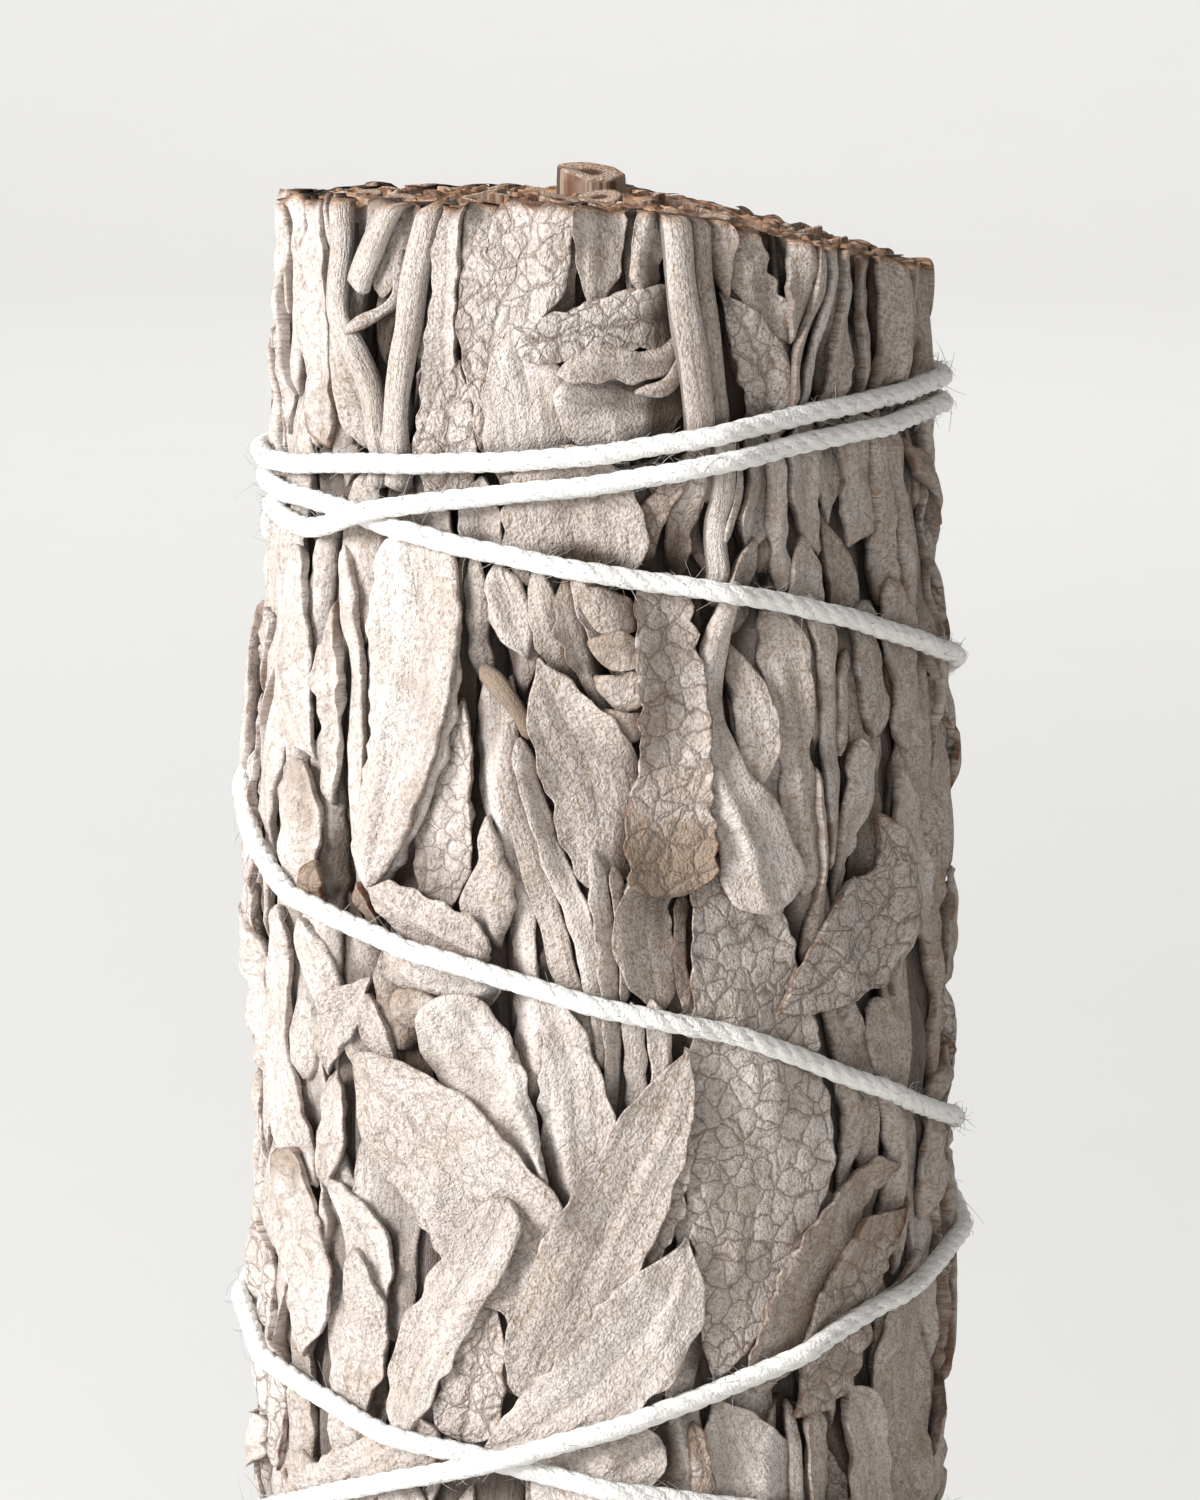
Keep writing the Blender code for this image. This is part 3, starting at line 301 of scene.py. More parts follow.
MIDDLE_PIECES = [
    ("leaf", [(-62, 82.0, 2.6), (-62, 77.2, 3.4), (-59, 73.2, 3.2), (-54, 71.2, 0.5)]),
    ("fold", [(-43, 63.5, 1.1), (-44, 69.6, 1.3), (-45, 75.7, 1.4), (-48, 82.4, 1.3)]),
    ("crumple", [(-50, 79.5, 1.6), (-51, 76.0, 2.2), (-49, 72.0, 1.6), (-50, 69.0, 0.8)]),
    ("crumple", [(-55, 71.2, 2.4), (-57, 67.0, 3.7), (-54, 63.5, 2.6)]),
    ("fold", [(-22, 82.6, 1.4), (-21, 78.3, 1.4), (-19, 75.0, 1.1)]),
    ("soft", [(-18, 82.0, 1.6), (-15, 79.6, 2.5), (-12, 77.3, 1.0)]),
    ("fold", [(-11, 82.0, 1.6), (-7, 78.0, 2.1), (-2, 75.1, 1.9), (6, 73.0, 1.2)]),
    ("crumple", [(-6, 81.6, 1.2), (-4, 79.0, 2.1), (-2, 76.9, 1.4), (2, 74.0, 0.7)]),
    ("crinkle", [(-5, 82.0, 1.2), (-1, 80.4, 2.4), (3, 78.5, 2.8), (6, 76.4, 2.4), (7, 73.6, 1.2)]),
    ("crumple", [(-4, 81.0, 0.9), (1, 79.9, 2.0), (7, 79.2, 1.8)]),
    ("crumple", [(-2, 78.3, 0.9), (3, 77.9, 2.0), (8, 77.7, 1.8)]),
    ("crumple", [(-1, 76.5, 0.9), (3, 75.8, 1.9), (8, 75.7, 1.6)]),
    ("crumple", [(0, 74.8, 0.8), (4, 74.0, 1.7), (8, 73.7, 1.5)]),
    ("dusky", [(16, 81.0, 1.1), (16, 78.4, 1.0), (17, 75.9, 0.5)]),
    ("fold", [(-2, 48.0, 1.5), (-6, 52.1, 2.1), (-11, 57.2, 1.9), (-13, 62.8, 1.6), (-15, 67.9, 1.8),
              (-18, 72.4, 2.0), (-19, 76.5, 1.3)]),
    ("fold", [(0, 55.2, 0.8), (-3, 58.3, 1.4), (-7, 62.9, 1.5), (-11, 67.4, 1.4), (-14, 71.4, 1.2),
              (-15, 76.4, 0.8)]),
    ("fold", [(1, 56.3, 0.9), (-1, 61.3, 1.3), (-4, 64.9, 1.4), (-8, 67.8, 1.2), (-13, 73.4, 0.9)]),
    ("twig", [(-20, 76.8, 0.8), (-17, 76.2, 1.1), (-14, 75.2, 0.9), (-11, 73.4, 0.8)]),
    ("scallop", [(-28, 63.6, 1.6), (-27, 66.1, 3.3), (-26, 68.7, 3.5), (-24, 71.7, 2.2), (-23, 75.2, 0.6)]),
    ("soft", [(-18, 69.4, 0.9), (-17, 66.8, 2.0), (-18, 64.7, 2.8), (-17, 62.4, 1.2)]),
    ("soft", [(-40, 64.2, 0.9), (-38, 67.3, 3.0), (-34, 71.0, 4.6), (-32, 75.6, 5.6), (-33, 79.6, 5.7),
              (-34, 83.4, 4.4)]),
    ("fold", [(-39, 65.3, 0.8), (-34, 68.0, 1.2), (-27, 74.0, 1.2), (-25, 79.0, 1.3), (-26, 83.0, 1.2)]),
    ("leaf", [(-10, 77.4, 1.1), (-6, 74.5, 3.7), (-1, 71.5, 5.1), (1, 68.5, 4.7), (1, 65.6, 2.5)]),
    ("fold", [(2, 53.2, 0.7), (2, 58.3, 1.0), (1, 62.9, 1.1), (-1, 67.8, 1.0)]),
    ("fold", [(4, 59.8, 0.7), (4, 63.4, 0.8), (2, 67.0, 0.8)]),
    ("leaf", [(10, 59.0, 1.0), (9, 60.8, 2.7), (7, 63.4, 3.2), (8, 66.6, 2.5)]),
    ("fold", [(6, 52.0, 1.1), (6, 55.7, 1.3), (5, 60.0, 1.1)]),
    ("fold", [(9, 54.6, 0.8), (10, 57.2, 1.2), (8, 60.2, 1.2)]),
    ("dusky", [(14, 59.4, 0.8), (13, 62.3, 0.8), (14, 65.6, 1.0)]),
    ("fold", [(35, 64.8, 1.8), (34, 69.5, 2.3), (33, 72.5, 2.1), (32, 76.1, 2.7), (30, 80.2, 2.0)]),
    ("fold", [(36, 61.2, 1.0), (38, 65.7, 1.1), (39, 68.3, 1.3), (37, 71.4, 1.0)]),
    ("fold", [(41, 66.0, 1.1), (41, 71.8, 1.3), (40, 75.9, 1.5), (37, 80.2, 1.5)]),
    ("leaf", [(24, 69.8, 1.0), (26, 72.7, 2.2), (25, 75.3, 2.0), (22, 78.0, 0.7)]),
    ("fold", [(43, 71.8, 0.6), (43, 73.8, 0.7), (43, 75.8, 0.7), (46, 77.1, 0.5)]),
    ("leaf", [(50, 79.5, 2.4), (51, 76.0, 3.0), (52, 72.5, 2.2)]),
    ("leaf", [(46, 72.6, 2.2), (47, 70.0, 2.2), (44, 67.1, 1.4), (42, 64.2, 0.6)]),
    ("leaf", [(57, 70.8, 1.6), (61, 65.7, 3.2), (66, 62.3, 2.4), (70, 60.8, 0.6)]),
    ("leaf", [(51, 58.9, 1.8), (53, 56.7, 3.2), (57, 54.4, 2.2)]),
]
LOWER_PIECES = [
    ("crinkle", [(-38, 65.2, 2.2), (-31, 63.9, 3.0), (-25, 63.1, 3.4), (-18, 62.2, 2.4)]),
    ("crumple", [(-38, 62.2, 1.9), (-32, 60.9, 2.4), (-24, 60.2, 2.5), (-16, 60.8, 1.9)]),
    ("crumple", [(-35, 59.9, 1.6), (-30, 59.2, 2.1), (-25, 59.5, 0.8)]),
    ("brown", [(-51, 66.2, 0.8), (-52, 64.6, 1.5), (-52, 63.2, 0.7)]),
    ("brown", [(-42, 65.4, 1.0), (-41, 63.9, 1.6), (-40, 62.8, 0.8)]),
    ("fold", [(-47, 58.2, 1.2), (-51, 60.5, 1.8), (-55, 63.0, 1.8)]),
    ("leaf", [(-41, 60.4, 1.3), (-47, 58.1, 2.5), (-51, 56.3, 1.8), (-52, 54.8, 0.5)]),
    ("leaf", [(-64, 63.2, 2.2), (-65, 57.1, 3.2), (-62, 52.0, 3.2), (-54, 48.8, 1.4)]),
    ("leaf", [(-49, 55.2, 0.8), (-50, 51.7, 2.1), (-50, 49.0, 0.8)]),
    ("crumple", [(-60, 50.6, 2.8), (-58, 46.4, 4.2), (-55, 42.9, 3.2), (-58, 39.5, 1.1)]),
    ("leaf", [(-49, 49.5, 1.8), (-41, 46.9, 2.7), (-38, 43.6, 2.2)]),
    ("leaf", [(-42, 46.4, 1.6), (-41, 42.7, 3.2), (-42, 39.4, 2.7), (-43, 37.2, 0.8)]),
    ("net", [(-18, 44.4, 1.4), (-21, 40.6, 3.7), (-23, 36.8, 3.5)]),
    ("leaf", [(57, 80.5, 1.8), (60, 76.5, 2.6), (61, 71.5, 2.4)]),
    ("fold", [(50, 43.8, 1.4), (57, 48.0, 1.4), (56, 50.7, 1.4), (51, 55.0, 1.3)]),
    ("fold", [(44, 48.6, 0.7), (46, 51.9, 1.3), (43, 55.8, 1.0)]),
    ("leaf", [(60, 43.6, 0.9), (60, 45.7, 1.6), (60, 48.0, 1.3)]),
    ("leaf", [(65, 44.8, 1.5), (60, 40.3, 4.8), (59, 36.1, 5.8), (63, 31.0, 4.8)]),
    ("leaf", [(19, 39.2, 1.1), (22, 36.7, 4.5), (26, 33.5, 6.9), (28, 29.5, 5.0)]),
    ("fold", [(33, 30.0, 0.7), (33, 33.6, 0.8), (33, 38.6, 0.7)]),
    ("fold", [(38, 28.0, 1.9), (38, 33.3, 1.9), (37, 38.4, 1.8)]),
    ("leaf", [(45, 38.6, 2.3), (49, 35.8, 3.2), (50, 31.5, 3.7)]),
    ("leaf", [(-27, 37.4, 2.4), (-40, 34.7, 3.2), (-58, 31.8, 3.0)]),
    ("leaf", [(10, 37.2, 2.4), (0, 35.5, 4.8), (-11, 34.2, 3.0)]),
    ("dusky", [(17, 33.6, 1.2), (15, 38.2, 1.1)]),
    ("leaf", [(-9, 60.8, 1.5), (-5, 57.3, 2.7), (-4, 54.2, 4.0), (-4, 51.1, 3.7), (-2, 48.0, 1.1)]),
    ("crinkle", [(-27, 59.8, 4.4), (-21, 56.7, 5.5), (-15, 53.5, 3.4), (-11, 51.0, 1.7), (-8, 48.7, 0.5)]),
    ("leaf", [(-41, 59.6, 1.1), (-39, 58.0, 1.8), (-36, 55.8, 0.8)]),
    ("leaf", [(-43, 56.4, 1.4), (-34, 54.0, 5.5), (-23, 50.7, 7.2), (-15, 46.8, 7.2), (-12, 43.6, 3.2),
              (-14, 41.8, 0.8)]),
    ("scallop", [(22, 67.4, 4.4), (23, 63.5, 5.6), (25, 59.5, 7.0), (26, 55.8, 8.2), (27, 52.2, 8.8),
             (26, 48.6, 8.0), (23, 44.5, 4.9), (19, 40.2, 1.4)]),
    ("soft", [(22, 81.2, 1.3), (19, 77.4, 1.6), (18, 74.4, 1.8), (20.5, 71.3, 2.6), (25, 68.3, 4.0),
              (27, 65.6, 4.3), (28, 64.3, 3.2)]),
    ("brown", [(12, 65.4, 4.6), (11, 68.9, 4.7), (12, 72.4, 3.9), (11, 77.0, 3.6), (10, 81.6, 3.0)]),
    ("worn", [(56, 50.0, 0.8), (51, 49.8, 1.8), (44, 48.2, 2.6), (37, 45.4, 3.7), (31, 42.2, 3.6),
              (26, 39.4, 1.8)]),
    ("scallop", [(58, 47.6, 0.9), (50, 46.0, 3.6), (44, 42.6, 5.0), (38, 39.6, 3.6), (33, 37.8, 0.8)]),
    ("scallop", [(6, 45.6, 0.7), (10, 48.5, 1.6), (12, 51.0, 1.6), (14, 54.0, 0.6)]),
    ("leaf", [(14, 57.6, 0.6), (8, 53.1, 3.9), (1, 48.5, 5.1), (-6, 43.8, 4.9), (-11, 40.6, 3.4),
              (-13, 39.4, 2.2)]),
    ("leaf", [(14, 47.8, 0.7), (10, 44.4, 4.8), (1, 40.9, 5.1), (-11, 37.9, 3.0), (-20, 36.2, 0.6)]),
    ("leaf", [(-33, 36.6, 1.6), (-31, 39.8, 2.9), (-26, 43.4, 3.4), (-19, 46.9, 3.1), (-14.5, 49.8, 2.4)]),
    ("net", [(50, 68.7, 1.1), (55, 65.6, 3.5), (52, 63.4, 6.3), (44, 61.9, 5.7), (37, 60.3, 3.5),
             (29, 59.0, 0.5)]),
]

# The string's route: angle, counted on from turn to turn, and height. It is the
# imported part's route, but for the four points from 1843 to 1935, which lie 0.4 to 1.5 lower here
STRING_ROUTE = [
    (-177, 88.6), (-135, 87.3), (-90, 85.9), (-67, 86.1), (-44, 86.7), (-15, 87.2), (0, 87.6),
    (15, 88.3), (32, 89.1), (68, 89.9), (90, 90.2), (135, 89.2), (180, 87.0), (225, 85.2),
    (270, 84.6), (288, 84.6), (304, 84.4), (318, 84.0), (341, 82.7), (360, 81.7), (383, 80.5),
    (402, 79.0), (431, 76.3), (450, 74.8), (495, 73.4), (540, 72.9), (585, 72.2), (612, 70.6),
    (630, 68.4), (647, 65.9), (657, 65.1), (680, 63.2), (702, 61.5), (720, 59.9), (743, 58.0),
    (762, 55.4), (786, 52.3), (810, 50.2), (855, 46.8), (900, 43.8), (945, 41.8), (990, 40.4),
    (1016, 38.6), (1039, 37.3), (1061, 36.3), (1083, 34.9), (1105, 33.4), (1130, 31.4),
    (1170, 28.0), (1215, 24.5), (1260, 21.0), (1305, 18.0), (1350, 15.8), (1395, 14.6),
    (1440, 14.2), (1485, 14.4), (1530, 15.6), (1575, 18.0), (1620, 21.3), (1665, 24.8),
    (1710, 28.3), (1744, 32.0), (1759, 33.8), (1781, 36.1), (1800, 38.0), (1823, 40.2),
    (1843, 42.2), (1868, 43.4), (1890, 44.4), (1935, 51.0), (1980, 61.5), (2025, 73.0),
    (2052, 80.4), (2070, 83.2), (2088, 83.4), (2104, 83.1), (2115, 83.9), (2123, 84.6),
    (2133, 85.1), (2145, 85.6), (2160, 86.1), (2175, 86.9), (2192, 87.7), (2228, 88.5),
    (2250, 88.8), (2295, 87.9), (2337, 88.6),
]


# The large leaves and stems of the sides, the back and the foot: how many, the first angle and
# how far round they spread from it
BACK_SEED = 7
BACK_STEMS = 9
BACK_STEM_START = 84
BACK_STEM_SPREAD = 192
BACK_LEAVES = 28
BACK_LEAF_START = 82
BACK_LEAF_SPREAD = 198
FOOT_LEAVES = 8
FOOT_LEAF_START = -70
FOOT_LEAF_SPREAD = 150

# The small leaves and strips that fill the bunch: how many, the angles and heights that they lie
# between, their kinds, lengths and widths, and how far they lean
Scatter = namedtuple("Scatter", "seed count span heights kinds lengths widths lean")
UNDER_LEAVES = Scatter(11, 230, (0, 360), (-2, 101), ["fold", "fold", "crumple", "leaf"],
                       (9, 24), (1.6, 4.6), 14)
TOP_STRIPS = Scatter(12, 46, (0, 360), (91, 99), ["fold", "stem", "fold", "leaf"],
                     (9, 15), (1.2, 2.4), 5)
BACK_SMALL = Scatter(13, 120, (78, 282), (1, 97), ["fold", "crumple", "leaf", "soft", "net"],
                     (7, 17), (1.4, 4.4), 26)
FOOT_SMALL = Scatter(14, 36, (-78, 80), (1, 31), ["fold", "crumple", "leaf", "net"],
                     (7, 16), (1.6, 4.6), 26)
ACCENTS = Scatter(15, 46, (80, 280), (4, 94), ["fold", "scallop", "crumple", "dusky"],
                  (6, 14), (1.2, 3.4), 34)


def body_radius(height):
    """The bunch's outer radius: narrow at the cut top, full below, a little narrower at the foot."""
    below_neck = np.clip((HEIGHT - NECK - height) / SHOULDER, 0, 1)
    above_foot = np.clip(height / FOOT_TAPER, 0, 1)
    swell = below_neck * below_neck * (3 - 2 * below_neck)
    foot = (1 - above_foot) ** 2
    return TOP_RADIUS + (BODY_RADIUS - TOP_RADIUS) * swell - (BODY_RADIUS - FOOT_RADIUS) * foot


def cut_height(x, y):
    """The sawn top is level on the left, slopes down on the right and is a little lower behind."""
    past = x - CUT_START
    slope = CUT_SLOPE / 2 * (past + np.hypot(past, CUT_ROUND))
    return HEIGHT - slope - CUT_BACK_SLOPE * (y + TOP_RADIUS)


def flat_lengths(points):
    """How long a line on the unrolled bunch is up to each of its points."""
    return np.concatenate([[0.0], np.cumsum(np.hypot(*np.diff(points[:, :2], axis=0).T))])


def lengths(points):
    """How long a line in space is up to each of its points."""
    return np.concatenate([[0.0], np.cumsum(np.linalg.norm(np.diff(points, axis=0), axis=1))])


def directions(vectors):
    """The vectors at a length of one."""
    return vectors / np.linalg.norm(vectors, axis=1)[:, None]


def turns_round(count):
    """Evenly spaced turns round a strand: over its outer face first, then back below."""
    return math.pi - 2 * math.pi * (np.arange(count) + 0.5) / count


def pattern(along, across, shift):
    """Where a material reads its pattern. The shift keeps two pieces' patterns apart."""
    return np.stack(np.broadcast_arrays(along, across, shift), -1)


def smooth_track(points, step):
    """Reads a smooth curve through the given points at even steps of its length."""
    points = np.array(points, dtype=float)
    knots = flat_lengths(points)
    slopes = np.gradient(points, knots, axis=0)
    count = max(4, int(round(knots[-1] / step)) + 1)
    at = np.linspace(0, knots[-1], count)
    piece = np.clip(np.searchsorted(knots, at, side="right") - 1, 0, len(knots) - 2)
    span = (knots[piece + 1] - knots[piece])[:, None]
    t = ((at - knots[piece])[:, None]) / span
    start = (1 + 2 * t) * (1 - t) ** 2 * points[piece] + t * (1 - t) ** 2 * span * slopes[piece]
    end = t * t * (3 - 2 * t) * points[piece + 1] + t * t * (t - 1) * span * slopes[piece + 1]
    return start + end


class Ripples:
    """Smooth waves in scattered directions, from about -1 to 1, each set with its own seed."""

    WAVES = 6

    def __init__(self, seed, length):
        draw = np.random.default_rng(seed)
        turn = draw.uniform(0, math.pi, self.WAVES)
        pace = 2 * math.pi / length * draw.uniform(0.6, 1.6, self.WAVES)
        shift = draw.uniform(0, 6.3, self.WAVES)
        self.waves = np.stack([pace * np.cos(turn), pace * np.sin(turn), shift], 1)

    def __call__(self, u, v):
        total = sum(np.sin(a * u + b * v + shift) for a, b, shift in self.waves)
        return total / math.sqrt(2 * len(self.waves))


def eased(field, cells, whole=False):
    """Each cell's mean with the cells that far away on four sides, its own value counted twice."""
    wide = np.pad(field, ((cells, cells), (0, 0)), mode="wrap" if whole else "edge")
    wide = np.pad(wide, ((0, 0), (cells, cells)), mode="edge")
    inner = slice(cells, -cells)
    sides = wide[2 * cells:, inner] + wide[:-2 * cells, inner]
    ends = wide[inner, 2 * cells:] + wide[inner, :-2 * cells]
    return (sides + ends + 2 * wide[inner, inner]) / 6


def highest_beside(field, step, axis):
    """The highest of each cell and the two that lie a step away on both sides."""
    return np.maximum(field, np.maximum(np.roll(field, step, axis), np.roll(field, -step, axis)))


def bilinear(field, x, y):
    """Reads a field between its cells."""
    x = np.clip(x, 0, field.shape[0] - 1.001)
    y = np.clip(y, 0, field.shape[1] - 1.001)
    i = x.astype(int)
    j = y.astype(int)
    fx = x - i
    fy = y - j
    low = field[i, j] * (1 - fx) + field[i + 1, j] * fx
    high = field[i, j + 1] * (1 - fx) + field[i + 1, j + 1] * fx
    return low * (1 - fy) + high * fy


class Wrap:
    """How far out the bunch reaches, kept on the unrolled grid as leaves are laid on it."""

    PAD = 14
    SOFT_STEPS = (5, 3, 2, 1, 4, 2, 1, 1)
    STIFF_STEPS = (9, 6, 4, 2, 7, 4, 2, 1, 5, 2, 1)
    LIMP_STEPS = (3, 2, 1, 1)
    GIRTH_STEPS = (12, 9, 7, 5, 3)
    PRESS_STEPS = (1, 2, 1, 1, 1)
    CREST_STEPS = (1, 2, 3)
    RIM_WIDTH = 0.3
    LEAST_SHARE = 0.02
    FULL_PRESS = 0.3

    def __init__(self):
        around = CELL * np.arange(COLUMNS)
        around, heights = np.meshgrid(around, LOWEST + CELL * np.arange(ROWS), indexing="ij")
        self.heights = heights
        lean = 1.2 * np.sin(heights / 17.0) + 0.5 * np.sin(heights / 6.1 + around)
        girth = CELL * COLUMNS
        broad = np.abs(np.sin((around + lean) * 2 * math.pi / girth * BROAD_STEMS))
        fine = np.abs(np.sin((around + 1.5 * lean) * 2 * math.pi / girth * FINE_STEMS))
        core = body_radius(heights) - CORE_DEPTH - CORE_GROOVE
        self.reach = core + BROAD_RIB * broad + FINE_RIB * fine
        self.shift = np.zeros_like(self.reach)
        self.crest = self.reach

    def place_in(self, field, u, v):
        """Reads one of the wrap's fields at places on the unrolled bunch."""
        columns = np.append(np.arange(COLUMNS), 0)
        return bilinear(field[columns], (u / CELL) % COLUMNS, (v - LOWEST) / CELL)

    def laid(self, u, v, steps):
        """A sheet's resting reach: it bridges hollows and follows what is broad."""
        first = int(math.floor(u.min() / CELL)) - self.PAD
        last = int(math.ceil(u.max() / CELL)) + self.PAD
        low = max(int((v.min() - LOWEST) / CELL) - self.PAD, 0)
        high = min(int((v.max() - LOWEST) / CELL) + self.PAD, ROWS)
        columns = np.arange(first, last + 1) % COLUMNS
        under = self.reach[np.ix_(columns, np.arange(low, high))]
        sheet = under
        for step in steps:
            sheet = np.maximum(under, eased(sheet, step))
        sheet = eased(eased(sheet, 1), 1)
        return bilinear(sheet, u / CELL - first, (v - LOWEST) / CELL - low)

    def add(self, u, v, r):
        """Raises the reach to a laid sheet's outer face."""
        steps = 3
        x = np.linspace(0, u.shape[0] - 1, (u.shape[0] - 1) * steps + 1)[:, None]
        y = np.linspace(0, u.shape[1] - 1, (u.shape[1] - 1) * steps + 1)[None, :]
        x, y = np.broadcast_arrays(x, y)
        u, v, r = (bilinear(part, x, y) for part in (u, v, r))
        column = np.round(u / CELL).astype(int) % COLUMNS
        row = np.clip(np.round((v - LOWEST) / CELL).astype(int), 0, ROWS - 1)
        np.maximum.at(self.reach, (column, row), r)

    def settle(self, route):
        """Presses the laid bunch to its true girth, and a little more under the string."""
        around = CELL * np.arange(COLUMNS)[:, None]
        below_saw = self.heights < saw_line(around) - self.RIM_WIDTH
        share = ((self.heights > 0) & below_saw).astype(float)
        broad = self.reach * share
        for step in self.GIRTH_STEPS:
            broad = eased(broad, step, whole=True)
            share = eased(share, step, whole=True)
        mean = broad / np.maximum(share, self.LEAST_SHARE)
        self.shift = mean - (body_radius(self.heights) - SURFACE_INSET)
        press = np.zeros_like(self.reach)
        column = np.round(route[:, 0] / CELL).astype(int) % COLUMNS
        row = np.round((route[:, 1] - LOWEST) / CELL).astype(int)
        press[column, row] = 1
        for step in self.PRESS_STEPS:
            press = eased(press, step, whole=True)
        full = np.quantile(press[column, row], self.FULL_PRESS)
        self.shift += PRESS_DEPTH * np.minimum(press / full, 1)
        self.reach = held_in(self.heights, self.reach - self.shift)
        crest = self.reach
        for step in self.CREST_STEPS:
            for axis in (0, 1):
                crest = highest_beside(crest, step, axis)
        self.crest = eased(eased(crest, 3, whole=True), 2, whole=True)

    def settled(self, u, v, r):
        """Where a laid point ends once the bunch is pressed."""
        return held_in(v, r - self.place_in(self.shift, u, v))

    def depth(self, u, v, r):
        """How deep a settled point lies below what stands out around it, which sets its painted shade."""
        return self.place_in(self.crest, u, v) - r


def held_in(height, reach):
    """Presses in what would stand out far beyond the bunch's girth."""
    girth = body_radius(height) - SURFACE_INSET + FREE_RISE
    over = np.maximum(reach - girth, 0)
    return np.minimum(reach, girth) + HELD_RISE * (1 - np.exp(-over / HELD_RISE))


def squeezed(u, v):
    """Brings what would stand above the sawn top, or below the foot, back to it."""
    top = saw_line(u)
    over = np.maximum(v - top + SAW_EASE, 0)
    v = np.where(over > 0, top - SAW_EASE * np.exp(-over / SAW_EASE), v)
    under = np.maximum(FOOT_EASE - v, 0)
    return np.where(under > 0, FOOT_EASE * np.exp(-under / FOOT_EASE), v)


SAW_RAGGED = Ripples(3, 2.4)


def saw_line(u):
    """The height at which the saw has cut the leaves, a little ragged."""
    turn = u / BODY_RADIUS
    radius = TOP_RADIUS - SURFACE_INSET
    level = cut_height(radius * np.sin(turn), -radius * np.cos(turn))
    return level + SAW_RAGGEDNESS * SAW_RAGGED(u, 0.0)


Laid = namedtuple("Laid", "sprig points way margin net rib brown tint cut")


def underside(offset, outer, reach, thick, count):
    """A leaf's lower face with few points across, each kept below all of the outer face near it."""
    part = np.linspace(0.9, -0.9, count)
    span = part[0] - part[1]
    share = offset / reach
    sunk = []
    for middle in part:
        near = np.where(np.abs(share - middle) <= span * 1.05, outer, np.inf)
        low = near.min(axis=1)
        low = np.minimum(low, np.minimum(np.roll(low, 1), np.roll(low, -1)))
        sunk.append(low)
    return part * reach, np.stack(sunk, axis=1) - thick


def shaped_ends(along, length, half, square_start, square_end, blunt):
    """Draws narrow ends of a leaf to a point and rounds wide ones, except an end that the saw has cut."""
    inner = int(np.searchsorted(along, min(1.0, length / 3)))
    for distance, near, square in ((along, inner, square_start), (length - along, -1 - inner, square_end)):
        if not square:
            pointed = 0.0 if blunt else 1 - np.clip((half[near] - POINTED_HALF) / POINTED_EASE, 0, 1)
            reach = np.clip((ROUND_REACH + POINT_REACH * pointed) * half[near], 0.3, 0.35 * length)
            part = np.clip((distance + 0.06) / reach, 0, 1)
            half = half * (part * (2 - part)) ** (0.5 + 0.3 * pointed)
    return half


def leaf_way(waypoints, step, blunt=False):
    """A leaf's middle line on the unrolled bunch, its sideways direction and its half width."""
    points = [(math.radians(a) * BODY_RADIUS, h, w) for a, h, w in waypoints]
    square = [points[i][1] > saw_line(np.array(points[i][0])) - 1.0 for i in (0, -1)]
    if square[1]:
        way = np.subtract(points[-1][:2], points[-2][:2])
        way = way / np.hypot(*way)
        points.append((*(points[-1][:2] + SAW_OVERRUN * way), points[-1][2]))
    track = smooth_track(points, step)
    along = flat_lengths(track)
    tangent = np.gradient(track[:, :2], axis=0)
    tangent = np.stack([np.convolve(np.pad(part, 3, mode="edge"), np.ones(7) / 7, "valid")
                        for part in tangent.T], axis=1)
    tangent = directions(tangent)
    side = np.stack([tangent[:, 1], -tangent[:, 0]], axis=1)
    half = shaped_ends(along, along[-1], np.maximum(track[:, 2], LEAST_WIDTH) / 2, *square, blunt)
    return track, along, side, half


def ragged_sides(kind, draw, along, half):
    """How far each margin of a leaf stands off its middle line, with its teeth."""
    sides = []
    for _ in range(2):
        tooth = np.abs(np.sin(math.pi * (along + draw.uniform(0, 2)) / TOOTH_PITCH)) - 0.5
        ragged = Ripples(draw.integers(1 << 30), RAGGED_LENGTH)(along, 0.0)
        sides.append(half + (RAGGED_DEPTH * ragged + kind.teeth * tooth) * np.minimum(half, 1))
    return (np.maximum(reach, LEAST_HALF)[:, None] for reach in sides)


def lifted(kind, draw, along, offset, widest, u, v):
    """How far a leaf stands off what it lies on: its bulge, tilt, folds, crumples, curl and groove."""
    share = offset / widest
    slim = np.minimum(widest, 1)
    lift = kind.bulge * widest * (1 - share ** 2)
    lift = lift + kind.tilt * (0.5 + 0.5 * draw.choice([-1, 1]) * share) * slim
    for _ in range(kind.folds):
        drift = draw.uniform(-0.6, 0.6) + 0.25 * np.sin(along / draw.uniform(3, 6) + draw.uniform(0, 6))
        spread = draw.uniform(0.28, 0.5)
        ridge = np.exp(-((offset - drift[:, None] * widest) / spread) ** 2)
        lift = lift + kind.fold_height * draw.uniform(0.6, 1.3) * ridge * slim
    broad = Ripples(draw.integers(1 << 30), BROAD_CRUMPLE)(u, v)
    fine = Ripples(draw.integers(1 << 30), FINE_CRUMPLE)(u, v)
    lift = lift + kind.crumple * (0.6 * np.abs(broad) + 0.25 * fine) * slim
    wave = 0.5 + 0.5 * np.sin(along / draw.uniform(0.8, 1.6) + draw.uniform(0, 6))[:, None]
    lift = lift + kind.curl * np.abs(share) ** 5 * wave * CURL_HEIGHT
    lift = lift - kind.groove * np.exp(-(offset / MIDRIB_WIDTH) ** 2) * np.minimum(widest / 2, 1)
    return np.maximum(lift, 0)


